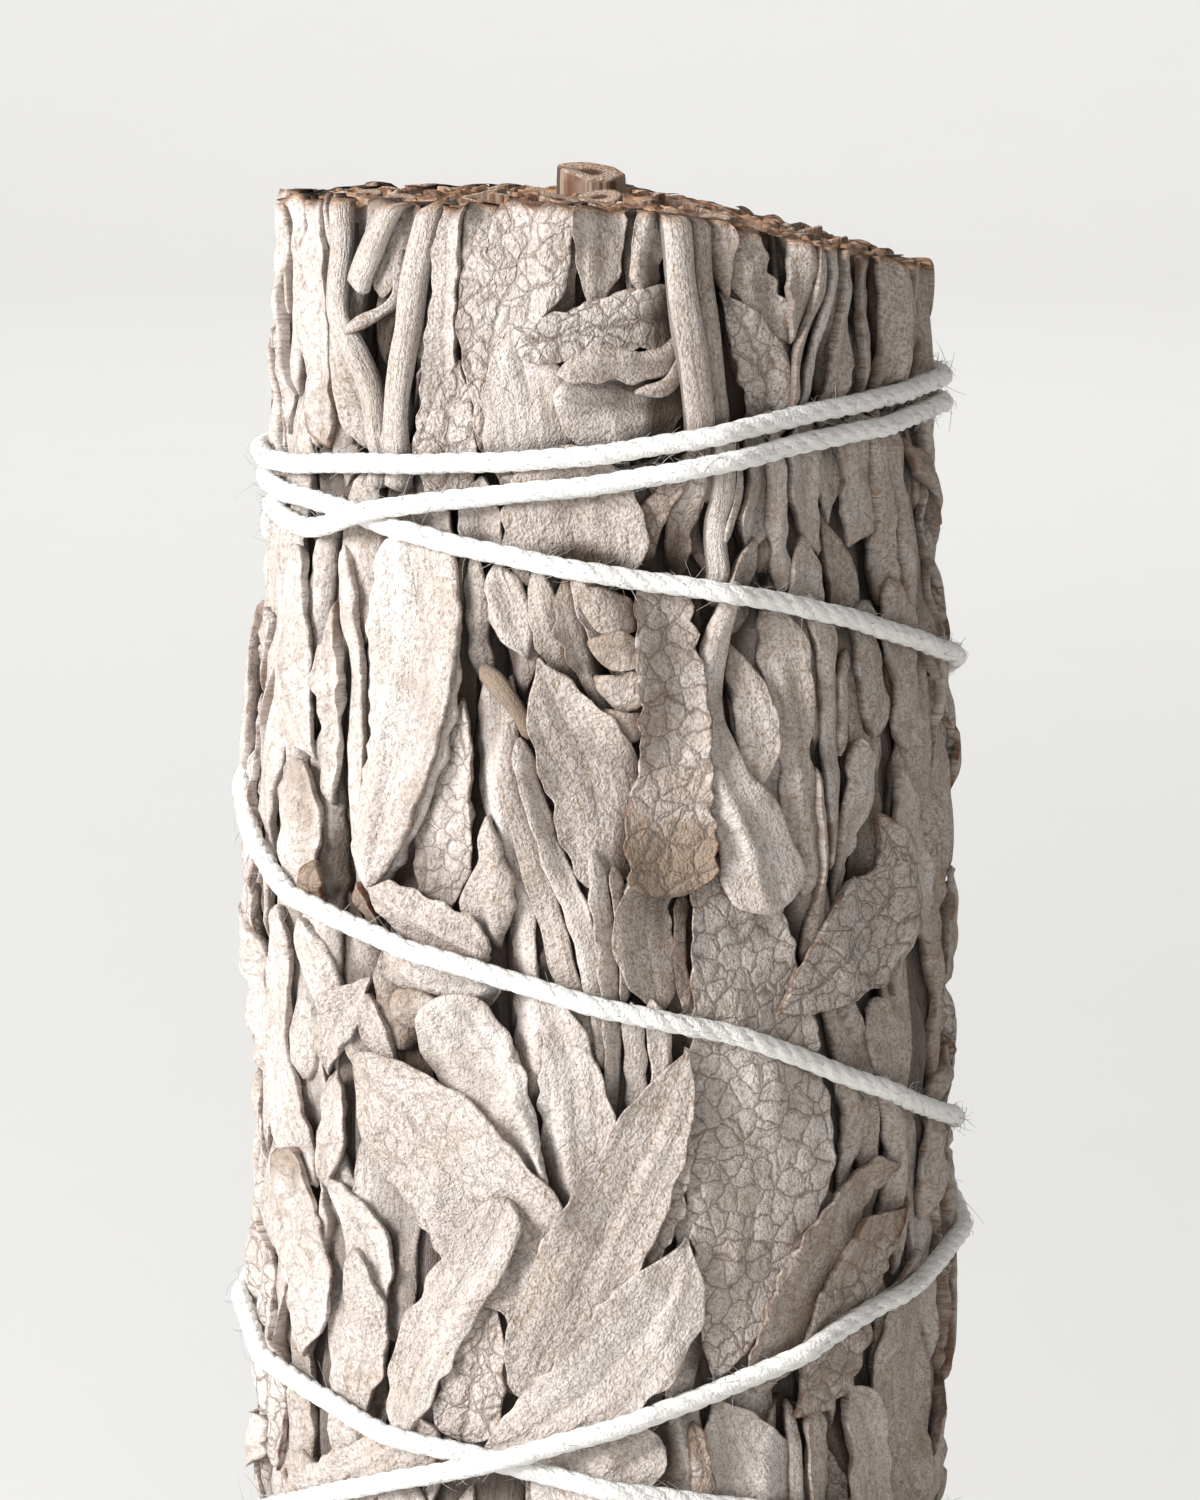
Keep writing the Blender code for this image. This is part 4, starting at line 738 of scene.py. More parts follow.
def lay_leaf(wrap, number, name, waypoints, step):
    """Lays one leaf: a thin felted sheet with folds, crumples, teeth and turned margins."""
    kind = KINDS[name]
    draw = np.random.default_rng(1000 + number)
    track, along, side, half = leaf_way(waypoints, step)
    edge = np.minimum(kind.edge, 0.45 * half)
    flat_count = max(5, int(2 * half.max() / step) + 1)
    part = np.linspace(-1, 1, flat_count)
    turns = np.radians(kind.turn) * np.linspace(0, 1, 4 if kind.turn <= 90 else 6)[1:]
    left, right = ragged_sides(kind, draw, along, half)
    edge = edge[:, None]
    body = np.where(part[None] < 0, part * (left - edge), part * (right - edge))
    offset = np.concatenate([-(left - edge + edge * np.sin(turns))[:, ::-1], body,
                             right - edge + edge * np.sin(turns)], axis=1)
    drop = np.concatenate([(1 - np.cos(turns))[::-1], np.zeros(flat_count), 1 - np.cos(turns)])
    widest = np.maximum(np.maximum(left, right), 0.1)
    u = track[:, :1] + side[:, :1] * offset
    v = squeezed(u, track[:, 1:2] + side[:, 1:] * offset)
    lift = lifted(kind, draw, along, offset, widest, u, v)
    thick = np.minimum(kind.thick, 2 * edge)
    base = np.maximum(edge * (1 - math.cos(turns[-1])), thick) * 0.9 + LEAF_GAP
    steps = wrap.LIMP_STEPS
    if step <= FRONT_STEP:
        steps = wrap.STIFF_STEPS if half.max() > STIFF_HALF_WIDTH else wrap.SOFT_STEPS
    outer = wrap.laid(u, v, steps) + lift + base - edge * drop
    wrap.add(u, v, outer)
    below_offset, below = underside(offset, outer, widest - edge * 0.5, thick, 3 if flat_count < 9 else 5)
    ring_offset = np.concatenate([offset, below_offset], axis=1)
    ring_reach = np.concatenate([outer, below], axis=1)
    ring_u = track[:, :1] + side[:, :1] * ring_offset
    ring_v = squeezed(ring_u, track[:, 1:2] + side[:, 1:] * ring_offset)
    margin = np.minimum(widest - np.abs(ring_offset), (along[-1] - along)[:, None] + 0.15)
    brown = kind.brown + kind.torn * np.clip(1 - along / TORN_REACH, 0, 1)[:, None]
    return finished(track, np.stack([ring_u, ring_v, ring_reach], -1), number, along, ring_offset,
                    margin, kind.net, kind.rib, brown, draw)


def finished(track, points, number, along, offset, margin, net, rib, brown, draw):
    """Packs a laid piece with what its material reads."""
    root = track[0, 0] / (2 * math.pi * BODY_RADIUS) * OUTER_SPRIGS
    sprig = int(round(root)) % OUTER_SPRIGS
    way = pattern(along[:, None], offset, PIECE_SHIFT * number)
    cut = np.clip(1 - (saw_line(points[..., 0]) - points[..., 1]) / SAW_STAIN, 0, 1)
    # Painted shade and light: pieces on the right side, away from the light, are made browner and greyer,
    # and pieces on the left paler
    aside = math.sin(track[0, 0] / BODY_RADIUS)
    right = max(0.0, aside) ** 2
    left = max(0.0, -aside)
    net = np.clip(net + draw.normal(0, NET_SPREAD), 0, 1)
    brown = np.clip(brown + RIGHT_PAINTED_SHADE_BROWN * right + draw.normal(0, BROWN_SPREAD), 0, 1)
    tint = min(max(draw.uniform(0, 1) + RIGHT_PAINTED_SHADE_TINT * right - LEFT_PAINTED_LIGHT_TINT * left, 0.0), 1.0)
    return Laid(sprig, points, way, np.maximum(margin, 0), net, rib, brown, tint, cut)


def lay_stem(wrap, number, name, waypoints, step):
    """Lays one stem: round, softly ribbed, and sawn off where it meets the top."""
    draw = np.random.default_rng(1000 + number)
    track, along, side, half = leaf_way(waypoints, step, True)
    turn = turns_round(STEM_SIDES)
    rib = 1 + STEM_RIB_DEPTH * np.cos(STEM_RIBS * turn + 1.3 * draw.uniform(0, 1) + 0.05 * along[:, None])
    if name == "roll":
        rib = rib * (0.86 + 0.20 * (turn + math.pi) / (2 * math.pi))
    rib = rib + STEM_RIB_DEPTH * Ripples(draw.integers(1 << 30), 4.0)(along[:, None], 3 * turn)
    offset = half[:, None] * rib * np.cos(turn)
    u = track[:, :1] + side[:, :1] * offset
    v = squeezed(u, track[:, 1:2] + side[:, 1:] * offset)
    rest = wrap.laid(track[:, :1], track[:, 1:2], wrap.SOFT_STEPS)
    reach = rest + half[:, None] * (0.75 + 0.9 * rib * np.sin(turn)) + 0.05
    upper = STEM_SIDES // 2
    wrap.add(u[:, :upper], v[:, :upper], reach[:, :upper])
    margin = np.broadcast_to((along[-1] - along)[:, None] + 0.3, offset.shape)
    way_offset = np.broadcast_to(turn * 1.2, offset.shape)
    return finished(track, np.stack([u, v, reach], -1), number, along, way_offset, margin, 0.0, 0.0,
                    STEM_KINDS[name], draw)


def lens(draw, angle, height):
    """A leaf's outline: narrow root, widest a third of the way up, drawn to a point."""
    length = draw.uniform(17, 25)
    width = draw.uniform(5.6, 8.4)
    lean = draw.uniform(-22, 22)
    up = 1 if draw.random() < 0.7 else -1
    foot = min(max(height - up * length / 2, 1.0), HEIGHT - 6)
    tip = min(max(height + up * length / 2, 1.0), HEIGHT - 6)
    return [(angle + lean * (part - 0.5), foot + (tip - foot) * part, width * share)
            for part, share in ((0.0, 0.25), (0.3, 1.0), (0.62, 0.85), (1.0, 0.14))]


def back_pieces():
    """The large leaves and stems of the sides, the back and the foot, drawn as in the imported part."""
    draw = random.Random(BACK_SEED)
    pieces = []
    for i in range(BACK_STEMS):
        angle = BACK_STEM_START + BACK_STEM_SPREAD * (i + 0.5) / BACK_STEMS + draw.uniform(-4, 4)
        turn = math.radians(angle)
        top = float(cut_height(TOP_RADIUS * math.sin(turn), -TOP_RADIUS * math.cos(turn)))
        length = draw.uniform(10, 18)
        lean = draw.uniform(-5, 5)
        width = 1.5 if i % 2 else draw.uniform(2.0, 3.2)
        pieces.append(("stem" if i % 2 else "fold", [
            (angle, top - length, width), (angle + lean / 2, top - length / 2, width * 1.1),
            (angle + lean, top, width)]))
    for i in range(BACK_LEAVES):
        angle = BACK_LEAF_START + BACK_LEAF_SPREAD * ((i * GOLDEN + 0.2) % 1)
        kind = ("leaf", "net", "soft", "leaf", "scallop")[i % 5]
        pieces.append((kind, lens(draw, angle, 12 + 74 * (i + 0.5) / BACK_LEAVES)))
    for i in range(FOOT_LEAVES):
        angle = FOOT_LEAF_START + FOOT_LEAF_SPREAD * ((i * GOLDEN + 0.4) % 1)
        pieces.append((("leaf", "net")[i % 2], lens(draw, angle, 9 + 19 * (i + 0.5) / FOOT_LEAVES)))
    return pieces


def scattered(group):
    """Small leaves and strips spread evenly over part of the bunch."""
    draw = random.Random(group.seed)
    first, last = group.span
    low, high = group.heights
    pieces = []
    for i in range(group.count):
        angle = first + (last - first) * ((i * GOLDEN + 0.3) % 1)
        middle = low + (high - low) * (i + 0.5) / group.count
        length = draw.uniform(*group.lengths)
        tilt = draw.gauss(0, group.lean)
        bend = draw.uniform(-3, 3)
        width = draw.uniform(*group.widths)
        turn = length * math.sin(math.radians(tilt)) / BODY_RADIUS * DEGREES_PER_RADIAN
        rise = length * math.cos(math.radians(tilt)) * (1 if draw.random() < 0.5 else -1)
        pieces.append((draw.choice(group.kinds), [
            (angle - turn / 2, middle - rise / 2, width * 0.5),
            (angle - turn / 5 + bend, middle - rise / 5, width),
            (angle + turn / 5 + bend, middle + rise / 5, width * 0.95),
            (angle + turn / 2, middle + rise / 2, width * 0.3)]))
    return pieces


def all_pieces():
    """Every laid piece with the step of its mesh, from the inside out."""
    layers = (
        (scattered(UNDER_LEAVES) + scattered(TOP_STRIPS), UNDER_STEP),
        (scattered(BACK_SMALL) + scattered(FOOT_SMALL), BACK_STEP),
        (back_pieces() + scattered(ACCENTS), LARGE_STEP),
        (TOP_PIECES + STRING_BAND_PIECES + MIDDLE_PIECES + LOWER_PIECES, FRONT_STEP),
    )
    return [(kind, waypoints, step) for pieces, step in layers for kind, waypoints in pieces]


class Mesh:
    """Points and faces gathered from many closed shells for one piece."""

    MARKS = ("margin", "net", "rib", "brown", "tint", "cut", "depth")

    def __init__(self):
        self.points = []
        self.faces = []
        self.looks = []
        self.caps = []
        self.cap_looks = []
        self.count = 0
        self.marks = {name: [] for name in self.MARKS}
        self.ways = []

    def loft(self, rings, way, look=0, **marks):
        """A closed shell through rings of points."""
        stations, around = rings.shape[:2]
        index = self.count + np.arange(stations * around).reshape(stations, around)
        ahead = np.roll(index, -1, axis=1)
        faces = np.stack([index[:-1], ahead[:-1], ahead[1:], index[1:]], axis=-1).reshape(-1, 4)
        self.caps += [index[0, ::-1], index[-1]]
        self.cap_looks += [look, look]
        self.points.append(rings.reshape(-1, 3))
        self.faces.append(faces)
        self.looks.append(np.full(len(faces), look))
        self.count += stations * around
        self.ways.append(np.broadcast_to(way, rings.shape).reshape(-1, 3))
        for name in self.MARKS:
            value = np.broadcast_to(marks.get(name, 0.0), rings.shape[:2])
            self.marks[name].append(value.reshape(-1))

    def build(self, name, slot, node, finishes):
        """Makes the object, which rides on the bunch and stands for its plain solid."""
        mesh = bpy.data.meshes.new(name)
        points = np.concatenate(self.points) * MM
        faces = np.concatenate(self.faces)
        corners = np.concatenate([faces.ravel()] + self.caps)
        sizes = np.concatenate([np.full(len(faces), 4), [len(cap) for cap in self.caps]])
        looks = np.concatenate(self.looks + [self.cap_looks])
        mesh.vertices.add(len(points))
        mesh.vertices.foreach_set("co", points.astype(np.float32).ravel())
        mesh.loops.add(len(corners))
        mesh.loops.foreach_set("vertex_index", corners.astype(np.int32))
        mesh.polygons.add(len(sizes))
        mesh.polygons.foreach_set("loop_start", (np.cumsum(sizes) - sizes).astype(np.int32))
        mesh.polygons.foreach_set("material_index", looks.astype(np.int32))
        mesh.update(calc_edges=True)
        mesh.validate()
        mesh.shade_smooth()
        for finish in finishes:
            mesh.materials.append(finish)
        for mark, values in self.marks.items():
            layer = mesh.attributes.new(mark, "FLOAT", "POINT")
            layer.data.foreach_set("value", np.concatenate(values).astype(np.float32))
        layer = mesh.attributes.new("way", "FLOAT_VECTOR", "POINT")
        layer.data.foreach_set("vector", np.concatenate(self.ways).astype(np.float32).ravel())
        item = bpy.data.objects.new(name, mesh)
        bpy.context.scene.collection.objects.link(item)
        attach(item, "root")
        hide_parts(node)
        return item


def rolled_up(points):
    """Unrolled points (way round, height, reach) as places in space."""
    turn = points[..., 0] / BODY_RADIUS
    reach = points[..., 2]
    return np.stack([reach * np.sin(turn), -reach * np.cos(turn), points[..., 1]], axis=-1)


def string_track(step):
    """The string's route on the unrolled bunch, at even steps."""
    unrolled = [(math.radians(angle) * BODY_RADIUS, height, 0.0) for angle, height in STRING_ROUTE]
    return smooth_track(unrolled, step)


def lay_bunch():
    """Lays every leaf and stem, then presses the whole to its girth."""
    wrap = Wrap()
    laid = []
    for number, (kind, waypoints, step) in enumerate(all_pieces()):
        lay = lay_stem if kind in STEM_KINDS else lay_leaf
        laid.append(lay(wrap, number, kind, waypoints, step))
    wrap.settle(string_track(CELL)[:, :2])
    return wrap, laid


def sprig_edge(index, height):
    """The angle of the seam before an outer sprig, which wavers as the stems do."""
    return (index - 0.5) * 360 / OUTER_SPRIGS + 3.0 * np.sin(height / 16.0 + index * 2.1)


def add_core(mesh, wrap, index):
    """The ribbed stems in the middle of an outer sprig, which the leaves lie on."""
    levels = np.linspace(STAND_OFF, HEIGHT, CORE_LEVELS)[:, None]
    first = sprig_edge(index, levels)
    last = sprig_edge((index + 1) % OUTER_SPRIGS, levels) + (360 if index == OUTER_SPRIGS - 1 else 0)
    part = np.linspace(0, 1, CORE_ARC)[None]
    angle = np.concatenate([first + (last - first) * part, first + (last - first) * part[:, ::-1]], axis=1)
    u = np.radians(angle) * BODY_RADIUS
    height = np.broadcast_to(levels, u.shape)
    bare = Wrap()
    outer = wrap.settled(u, height, bare.place_in(bare.reach, u, height))
    reach = np.where(np.arange(2 * CORE_ARC) < CORE_ARC, outer, INNER_RADIUS + GAP / 2)
    seam = np.concatenate([np.minimum(part, 1 - part)[0] < 0.01, np.zeros(CORE_ARC, bool)])
    reach = reach - SEAM_DEPTH * seam
    points = rolled_up(np.stack([u, height, reach], -1))
    top = cut_height(points[..., 0], points[..., 1]) - TOP_RECESS
    points[..., 2] = points[..., 2] * top / HEIGHT
    cut = np.clip(1 - (top - points[..., 2]) / 0.6, 0, 1)
    # Painted shade: the core is marked as lying deep, so its stems are painted dark like the gaps
    mesh.loft(points, pattern(height, u * 3, 900.0 + index),
              margin=1.0, net=0.1, brown=0.3, tint=0.4, cut=cut * 0.5, depth=1.4)


def outer_mesh(wrap, laid, index):
    """An outer sprig: its core, the leaves rooted in it and its part of the sawn top."""
    mesh = Mesh()
    add_core(mesh, wrap, index)
    for piece in laid:
        if piece.sprig == index:
            u, v, r = np.moveaxis(piece.points, -1, 0)
            settled = wrap.settled(u, v, r)
            # How deep each point lies, which the leaf's material paints as shade
            depth = wrap.depth(u, v, settled)
            points = rolled_up(np.stack([u, v, settled], -1))
            mesh.loft(points, piece.way, margin=piece.margin, net=piece.net, rib=piece.rib,
                      brown=piece.brown, tint=piece.tint, cut=piece.cut, depth=depth)
    draw = np.random.default_rng(300 + index)
    middle = index * 360 / OUTER_SPRIGS
    for _ in range(OUTER_RIBBONS):
        angle = middle + draw.uniform(-15, 15)
        radius = math.sqrt(draw.uniform(OUTER_RIBBON_START ** 2, RIBBON_REACH ** 2))
        add_ribbon(mesh, draw, angle, radius, 1.6)
    angle = middle + draw.uniform(-4, 4)
    add_sawn_stem(mesh, draw, angle, OUTER_STEM_RADIUS, OUTER_STEM_THICKNESS, 0.0)
    return mesh


def add_ribbon(mesh, draw, angle, radius, length_scale):
    """The sawn edge of a leaf on the top: a thin wavy wall."""
    length = draw.uniform(1.6, 4.2) * length_scale
    count = max(6, int(length / 0.4))
    heading = math.radians(angle) + draw.normal(0, 0.5)
    bend = draw.normal(0, 0.35) / max(length, 1)
    at = (np.arange(count) - count / 2) * length / count
    wiggle = 0.25 * np.sin(at * draw.uniform(1.5, 3.0) + draw.uniform(0, 6))
    turn = math.radians(angle)
    x = radius * math.sin(turn) + at * math.cos(heading) - (wiggle + bend * at ** 2) * math.sin(heading)
    y = -radius * math.cos(turn) + at * math.sin(heading) + (wiggle + bend * at ** 2) * math.cos(heading)
    reach = np.hypot(x, y)
    shrink = np.minimum(1, RIBBON_REACH / np.maximum(reach, 1e-6))
    x = x * shrink
    y = y * shrink
    way_x = np.gradient(x)
    way_y = np.gradient(y)
    size = np.hypot(way_x, way_y) + 1e-9
    half = draw.uniform(0.14, 0.24)
    top = cut_height(x, y) - draw.uniform(0.0, 0.9) + 0.1 * np.sin(at * 4)
    across, rise = np.array(RIBBON_SECTION).T
    rings = np.stack([x[:, None] - across * half * way_y[:, None] / size[:, None],
                      y[:, None] + across * half * way_x[:, None] / size[:, None],
                      top[:, None] + rise], axis=-1)
    way = pattern(at[:, None], rise, draw.uniform(0, 900))
    # Painted shade: the wall is painted darker the further down it reaches below the top
    mesh.loft(rings, way, margin=1.0, net=0.1, brown=0.3, tint=draw.uniform(0, 1),
              cut=np.clip(1 + rise / 0.6, 0, 1), depth=np.clip(0.2 - rise, 0, 2))


def add_sawn_stem(mesh, draw, angle, radius, thickness, proud):
    """A stem end on the top: bark, pale wood and a sunken pith."""
    turn = math.radians(angle)
    x = radius * math.sin(turn)
    y = -radius * math.cos(turn)
    top = float(cut_height(x, y)) + proud
    around = turns_round(STEM_END_SIDES)
    shape = 1 + 0.09 * np.cos(3 * around + draw.uniform(0, 6)) + 0.05 * np.cos(7 * around)
    shape = shape + 0.06 * np.cos(2 * around + draw.uniform(0, 6))
    slant = 0.12 * thickness * np.cos(around + draw.uniform(0, 6))
    size, rise, heart = np.array(STEM_END_PROFILE).T[..., None]
    rise[0] -= proud
    rings = np.stack([x + thickness / 2 * size * shape * np.cos(around),
                      y + thickness / 2 * size * shape * np.sin(around),
                      top + rise + slant * size * (rise > -0.5)], axis=-1)[:, ::-1]
    way = pattern(heart * 3, around * 2, 40.0 + radius)
    mesh.loft(rings, way, look=1, margin=heart, brown=0.5, tint=0.5, cut=1.0, depth=0.0)


def inner_outline(index):
    """The outline of an inner sprig: round in the centre, a part of a ring outside it."""
    if index == 0:
        turn = 2 * math.pi * (np.arange(INNER_SIDES) + 0.5) / INNER_SIDES
        return np.stack([CENTRE_RADIUS * np.sin(turn), -CENTRE_RADIUS * np.cos(turn)], -1)
    pitch = 2 * math.pi / INNER_SPRIGS
    part = np.linspace(-0.5, 0.5, INNER_SIDES // 2)
    outer = INNER_RADIUS - GAP / 2
    inner = CENTRE_RADIUS + GAP
    turn = (index - 1 + part) * pitch - np.sign(part) * GAP / 2 / outer
    back = (index - 1 + part[::-1]) * pitch - np.sign(part[::-1]) * GAP / 2 / inner
    return np.concatenate([np.stack([outer * np.sin(turn), -outer * np.cos(turn)], -1),
                           np.stack([inner * np.sin(back), -inner * np.cos(back)], -1)])


def inner_mesh(index):
    """An inner sprig: a pressed column with sawn leaf edges and stems standing out of its top."""
    mesh = Mesh()
    draw = np.random.default_rng(500 + index)
    outline = inner_outline(index)
    top = cut_height(outline[:, 0], outline[:, 1]) - TOP_RECESS
    rings = np.stack([np.concatenate([outline, (STAND_OFF + (top - STAND_OFF) * level)[:, None]], axis=1)
                      for level in np.linspace(0, 1, INNER_LEVELS)])
    way = pattern(rings[..., 2], rings[..., 0] * 4, rings[..., 1] * 4)
    # Painted shade: the column's sides are marked as lying deep, so they are painted dark like the gaps
    mesh.loft(rings, way, margin=1.0, net=0.1, brown=0.5, tint=0.5, cut=0.6, depth=1.3)
    if index == 0:
        for _ in range(CENTRE_RIBBONS):
            add_ribbon(mesh, draw, draw.uniform(0, 360), draw.uniform(1.5, 3.0), 0.6)
        add_sawn_stem(mesh, draw, 0, 0.0, CENTRE_STEM_THICKNESS, 0.0)
        return mesh
    middle = (index - 1) * 360 / INNER_SPRIGS
    for _ in range(INNER_RIBBONS):
        add_ribbon(mesh, draw, middle + draw.uniform(-40, 40), draw.uniform(4.2, 8.0), 0.9)
    for angle, radius, thickness, proud in BACK_STEM_ENDS if middle == 180 else INNER_STEM_ENDS:
        add_sawn_stem(mesh, draw, middle + angle, radius, thickness, proud)
    return mesh


class Number:
    """A socket's number, whose sums and products add Math nodes."""

    def __init__(self, finish, socket):
        self.finish = finish
        self.socket = socket

    def math(self, operation, *others):
        return self.of(operation, self, *others)

    def of(self, operation, *ends):
        node = self.finish.node("ShaderNodeMath", {"operation": operation}, dict(enumerate(ends)))
        return Number(self.finish, node.outputs[0])

    def __add__(self, other):
        return self.of("ADD", self, other)

    def __radd__(self, other):
        return self.of("ADD", other, self)

    def __sub__(self, other):
        return self.of("SUBTRACT", self, other)

    def __rsub__(self, other):
        return self.of("SUBTRACT", other, self)

    def __mul__(self, other):
        return self.of("MULTIPLY", self, other)

    def __rmul__(self, other):
        return self.of("MULTIPLY", other, self)

    def rising(self, low, high):
        """0 below low, 1 above high and smooth between."""
        settings = {"interpolation_type": "SMOOTHSTEP"}
        node = self.finish.node("ShaderNodeMapRange", settings, {0: self, 1: low, 2: high})
        return Number(self.finish, node.outputs[0])


class Finish:
    """A material with the nodes that its surface needs."""

    def __init__(self, name, **constants):
        self.material = bpy.data.materials.new(name)
        self.material.use_nodes = True
        self.tree = self.material.node_tree
        self.shader = self.tree.nodes["Principled BSDF"]
        for socket, value in constants.items():
            self.shader.inputs[socket.replace("_", " ")].default_value = value

    def node(self, kind, settings=None, inputs=None):
        node = self.tree.nodes.new(kind)
        for name, value in (settings or {}).items():
            setattr(node, name, value)
        for name, value in (inputs or {}).items():
            self.join(value, node.inputs[name])
        return node

    def join(self, value, socket):
        if isinstance(value, Number):
            self.tree.links.new(value.socket, socket)
        elif isinstance(value, bpy.types.NodeSocket):
            self.tree.links.new(value, socket)
        else:
            socket.default_value = value

    def mark(self, name):
        return Number(self, self.node("ShaderNodeAttribute", {"attribute_name": name}).outputs["Fac"])

    def way(self):
        return self.node("ShaderNodeAttribute", {"attribute_name": "way"}).outputs["Vector"]

    def noise(self, place, scale, detail=2.0, distortion=0.0):
        inputs = {"Vector": place, "Scale": scale, "Detail": detail, "Distortion": distortion}
        return Number(self, self.node("ShaderNodeTexNoise", None, inputs).outputs["Fac"])

    def cells(self, place, scale):
        """How far a place is from the edges of scattered cells."""
        inputs = {"Vector": place, "Scale": scale}
        node = self.node("ShaderNodeTexVoronoi", {"feature": "DISTANCE_TO_EDGE"}, inputs)
        return Number(self, node.outputs["Distance"])

    def vector(self, operation, *ends):
        return self.node("ShaderNodeVectorMath", {"operation": operation}, dict(enumerate(ends))).outputs[0]

    def mixed(self, share, first, second):
        """The first colour where the share is 0 and the second where it is 1."""
        inputs = {0: share, 6: first, 7: second}
        return self.node("ShaderNodeMix", {"data_type": "RGBA"}, inputs).outputs[2]

    def bump(self, height):
        """Raises the surface by a height in millimetres."""
        inputs = {"Strength": 1.0, "Distance": MM, "Height": height}
        self.join(self.node("ShaderNodeBump", None, inputs).outputs[0], self.shader.inputs["Normal"])

    def colour(self, value):
        self.join(value, self.shader.inputs["Base Color"])


def rgba(colour):
    return (*colour, 1.0)


def dried_leaf(look):
    """Felted sage: pale and grainy, netted with dark veins, browned at margins, with painted shade in the
    gaps and on the right side.
    """
    finish = Finish("dried_leaf", Roughness=0.95, Sheen_Weight=0.12, Sheen_Roughness=0.5,
                    Specular_IOR_Level=0.2)
    way = finish.way()
    net, rib, brown, depth = (finish.mark(name) for name in ("net", "rib", "brown", "depth"))
    margin, tint, cut = (finish.mark(name) for name in ("margin", "tint", "cut"))
    drift = finish.node("ShaderNodeTexNoise", None, {"Vector": way, "Scale": 1.1}).outputs["Color"]
    waver = finish.vector("SUBTRACT", drift, (0.5, 0.5, 0.5))
    bent = finish.vector("ADD", way, finish.vector("MULTIPLY", waver, (0.9, 0.9, 0.0)))
    parts = finish.node("ShaderNodeSeparateXYZ", None, {0: bent})
    along, across = Number(finish, parts.outputs[0]), Number(finish, parts.outputs[1]).math("ABSOLUTE")
    cells = finish.cells(bent, 0.85)
    crumbs = finish.cells(bent, 1.9)
    branch = (along - across * 1.1).math("PINGPONG", 1.3)
    lines = (1 - cells.rising(0.0, 0.075)).math("MAXIMUM", (1 - crumbs.rising(0.0, 0.08)) * 0.25)
    strong = (1 - branch.rising(0.0, 0.11)).math("MAXIMUM", 1 - across.rising(0.04, 0.15))
    veins = (lines * net).math("MAXIMUM", strong * rib)
    fine = finish.noise(way, 7.0, 2.0)
    grain = finish.noise(way, 4.2, 3.0)
    speck = finish.noise(way, 3.4, 4.0).rising(0.57, 0.66)
    streaks = finish.noise(finish.vector("MULTIPLY", way, (0.22, 2.2, 1.0)), 1.0, 2.0)
    blotch = finish.noise(way, 0.30, 3.0)
    patch = finish.noise(way, 0.65, 4.0, 0.6)
    felt = finish.mixed(blotch.rising(0.35, 0.65), rgba(look.pale), rgba(look.warm))
    # Greyer felt with the tint, which is partly random and partly painted shade on the right side and
    # painted light on the left
    felt = finish.mixed(tint.rising(0.1, 1.0) * (0.5 - net * 0.22), felt, rgba(look.shade))
    # Browned felt with the browning, which on the right side is partly painted shade
    felt = finish.mixed((brown * 1.3 + patch - 0.62).rising(0.0, 0.75), felt, rgba(look.browned))
    dusty = (fine * 0.6 + grain * 0.4).rising(0.47, 0.59) * (0.25 + tint * 0.38)
    felt = finish.mixed(dusty, felt, rgba(look.grain))
    felt = finish.mixed((1 - streaks.rising(0.30, 0.46)) * (1 - net) * 0.40, felt, rgba(look.grain))
    felt = finish.mixed(speck * (0.24 + tint * 0.32), felt, rgba(look.ochre))
    netted = finish.mixed(veins * 0.74, felt, rgba(look.vein))
    rim = (1 - margin.rising(0.02, 0.22)) * (net * 0.6 + brown + 0.15) * patch.rising(0.38, 0.58)
    netted = finish.mixed(rim * 0.8, netted, rgba(look.rim))
    sawn = finish.mixed(patch.rising(0.40, 0.62), rgba(look.sawn), rgba(look.rim))
    sawn = finish.mixed(cut * patch.rising(0.25, 0.5), netted, sawn)
    # Painted shade: the deeper a point lies below the leaves around it, the darker it is, down to the gap
    # colour
    finish.colour(finish.mixed(depth.rising(0.70, 1.8) * 0.95, sawn, rgba(look.gap)))
    domes = cells.rising(0.0, 0.22) * (net * 0.10) + crumbs.rising(0.0, 0.2) * (net * 0.025)
    domes = domes + streaks * (0.20 - net * 0.20)
    finish.bump(domes + strong * (rib * -0.08) + fine * 0.13 + grain * 0.09 + speck * -0.05)
    return finish.material


def cut_stem(look):
    """A sawn stem end: grey bark, pale wood and a brown pith."""
    finish = Finish("cut_stem", Roughness=0.85)
    way = finish.way()
    heart = finish.mark("margin")
    grain = finish.noise(way, 3.0, 3.0)
    wood = finish.mixed(grain.rising(0.35, 0.65), rgba(look.sawn), rgba(look.warm))
    wood = finish.mixed(heart.rising(0.25, 0.5), rgba(look.rim), wood)
    bark = finish.mixed(finish.noise(way, 0.9, 4.0).rising(0.40, 0.60), rgba(look.rim), rgba(look.browned))
    finish.colour(finish.mixed(heart.rising(0.86, 0.96), wood, bark))
    finish.bump(grain * 0.25)
    return finish.material


def cotton(look):
    """White cotton: matt, faintly streaked along its plies."""
    finish = Finish("cotton_string", Roughness=0.9, Sheen_Weight=0.3, Sheen_Roughness=0.6)
    way = finish.way()
    streak = finish.noise(finish.vector("MULTIPLY", way, (1.2, 7.0, 1.0)), 1.0, 3.0)
    lint = finish.noise(way, 6.0, 3.0)
    finish.colour(finish.mixed(streak.rising(0.3, 0.7), rgba(look.cotton_shade), rgba(look.cotton)))
    finish.bump(streak * 0.08 + lint * 0.10)
    return finish.material


def backdrop(look):
    """Plain pale paper."""
    finish = Finish("pale_paper", Roughness=0.95)
    tooth = finish.noise(finish.node("ShaderNodeTexCoord").outputs["Object"], 40.0)
    finish.colour(finish.mixed(tooth, rgba(look.paper), rgba([part * 0.985 for part in look.paper])))
    return finish.material


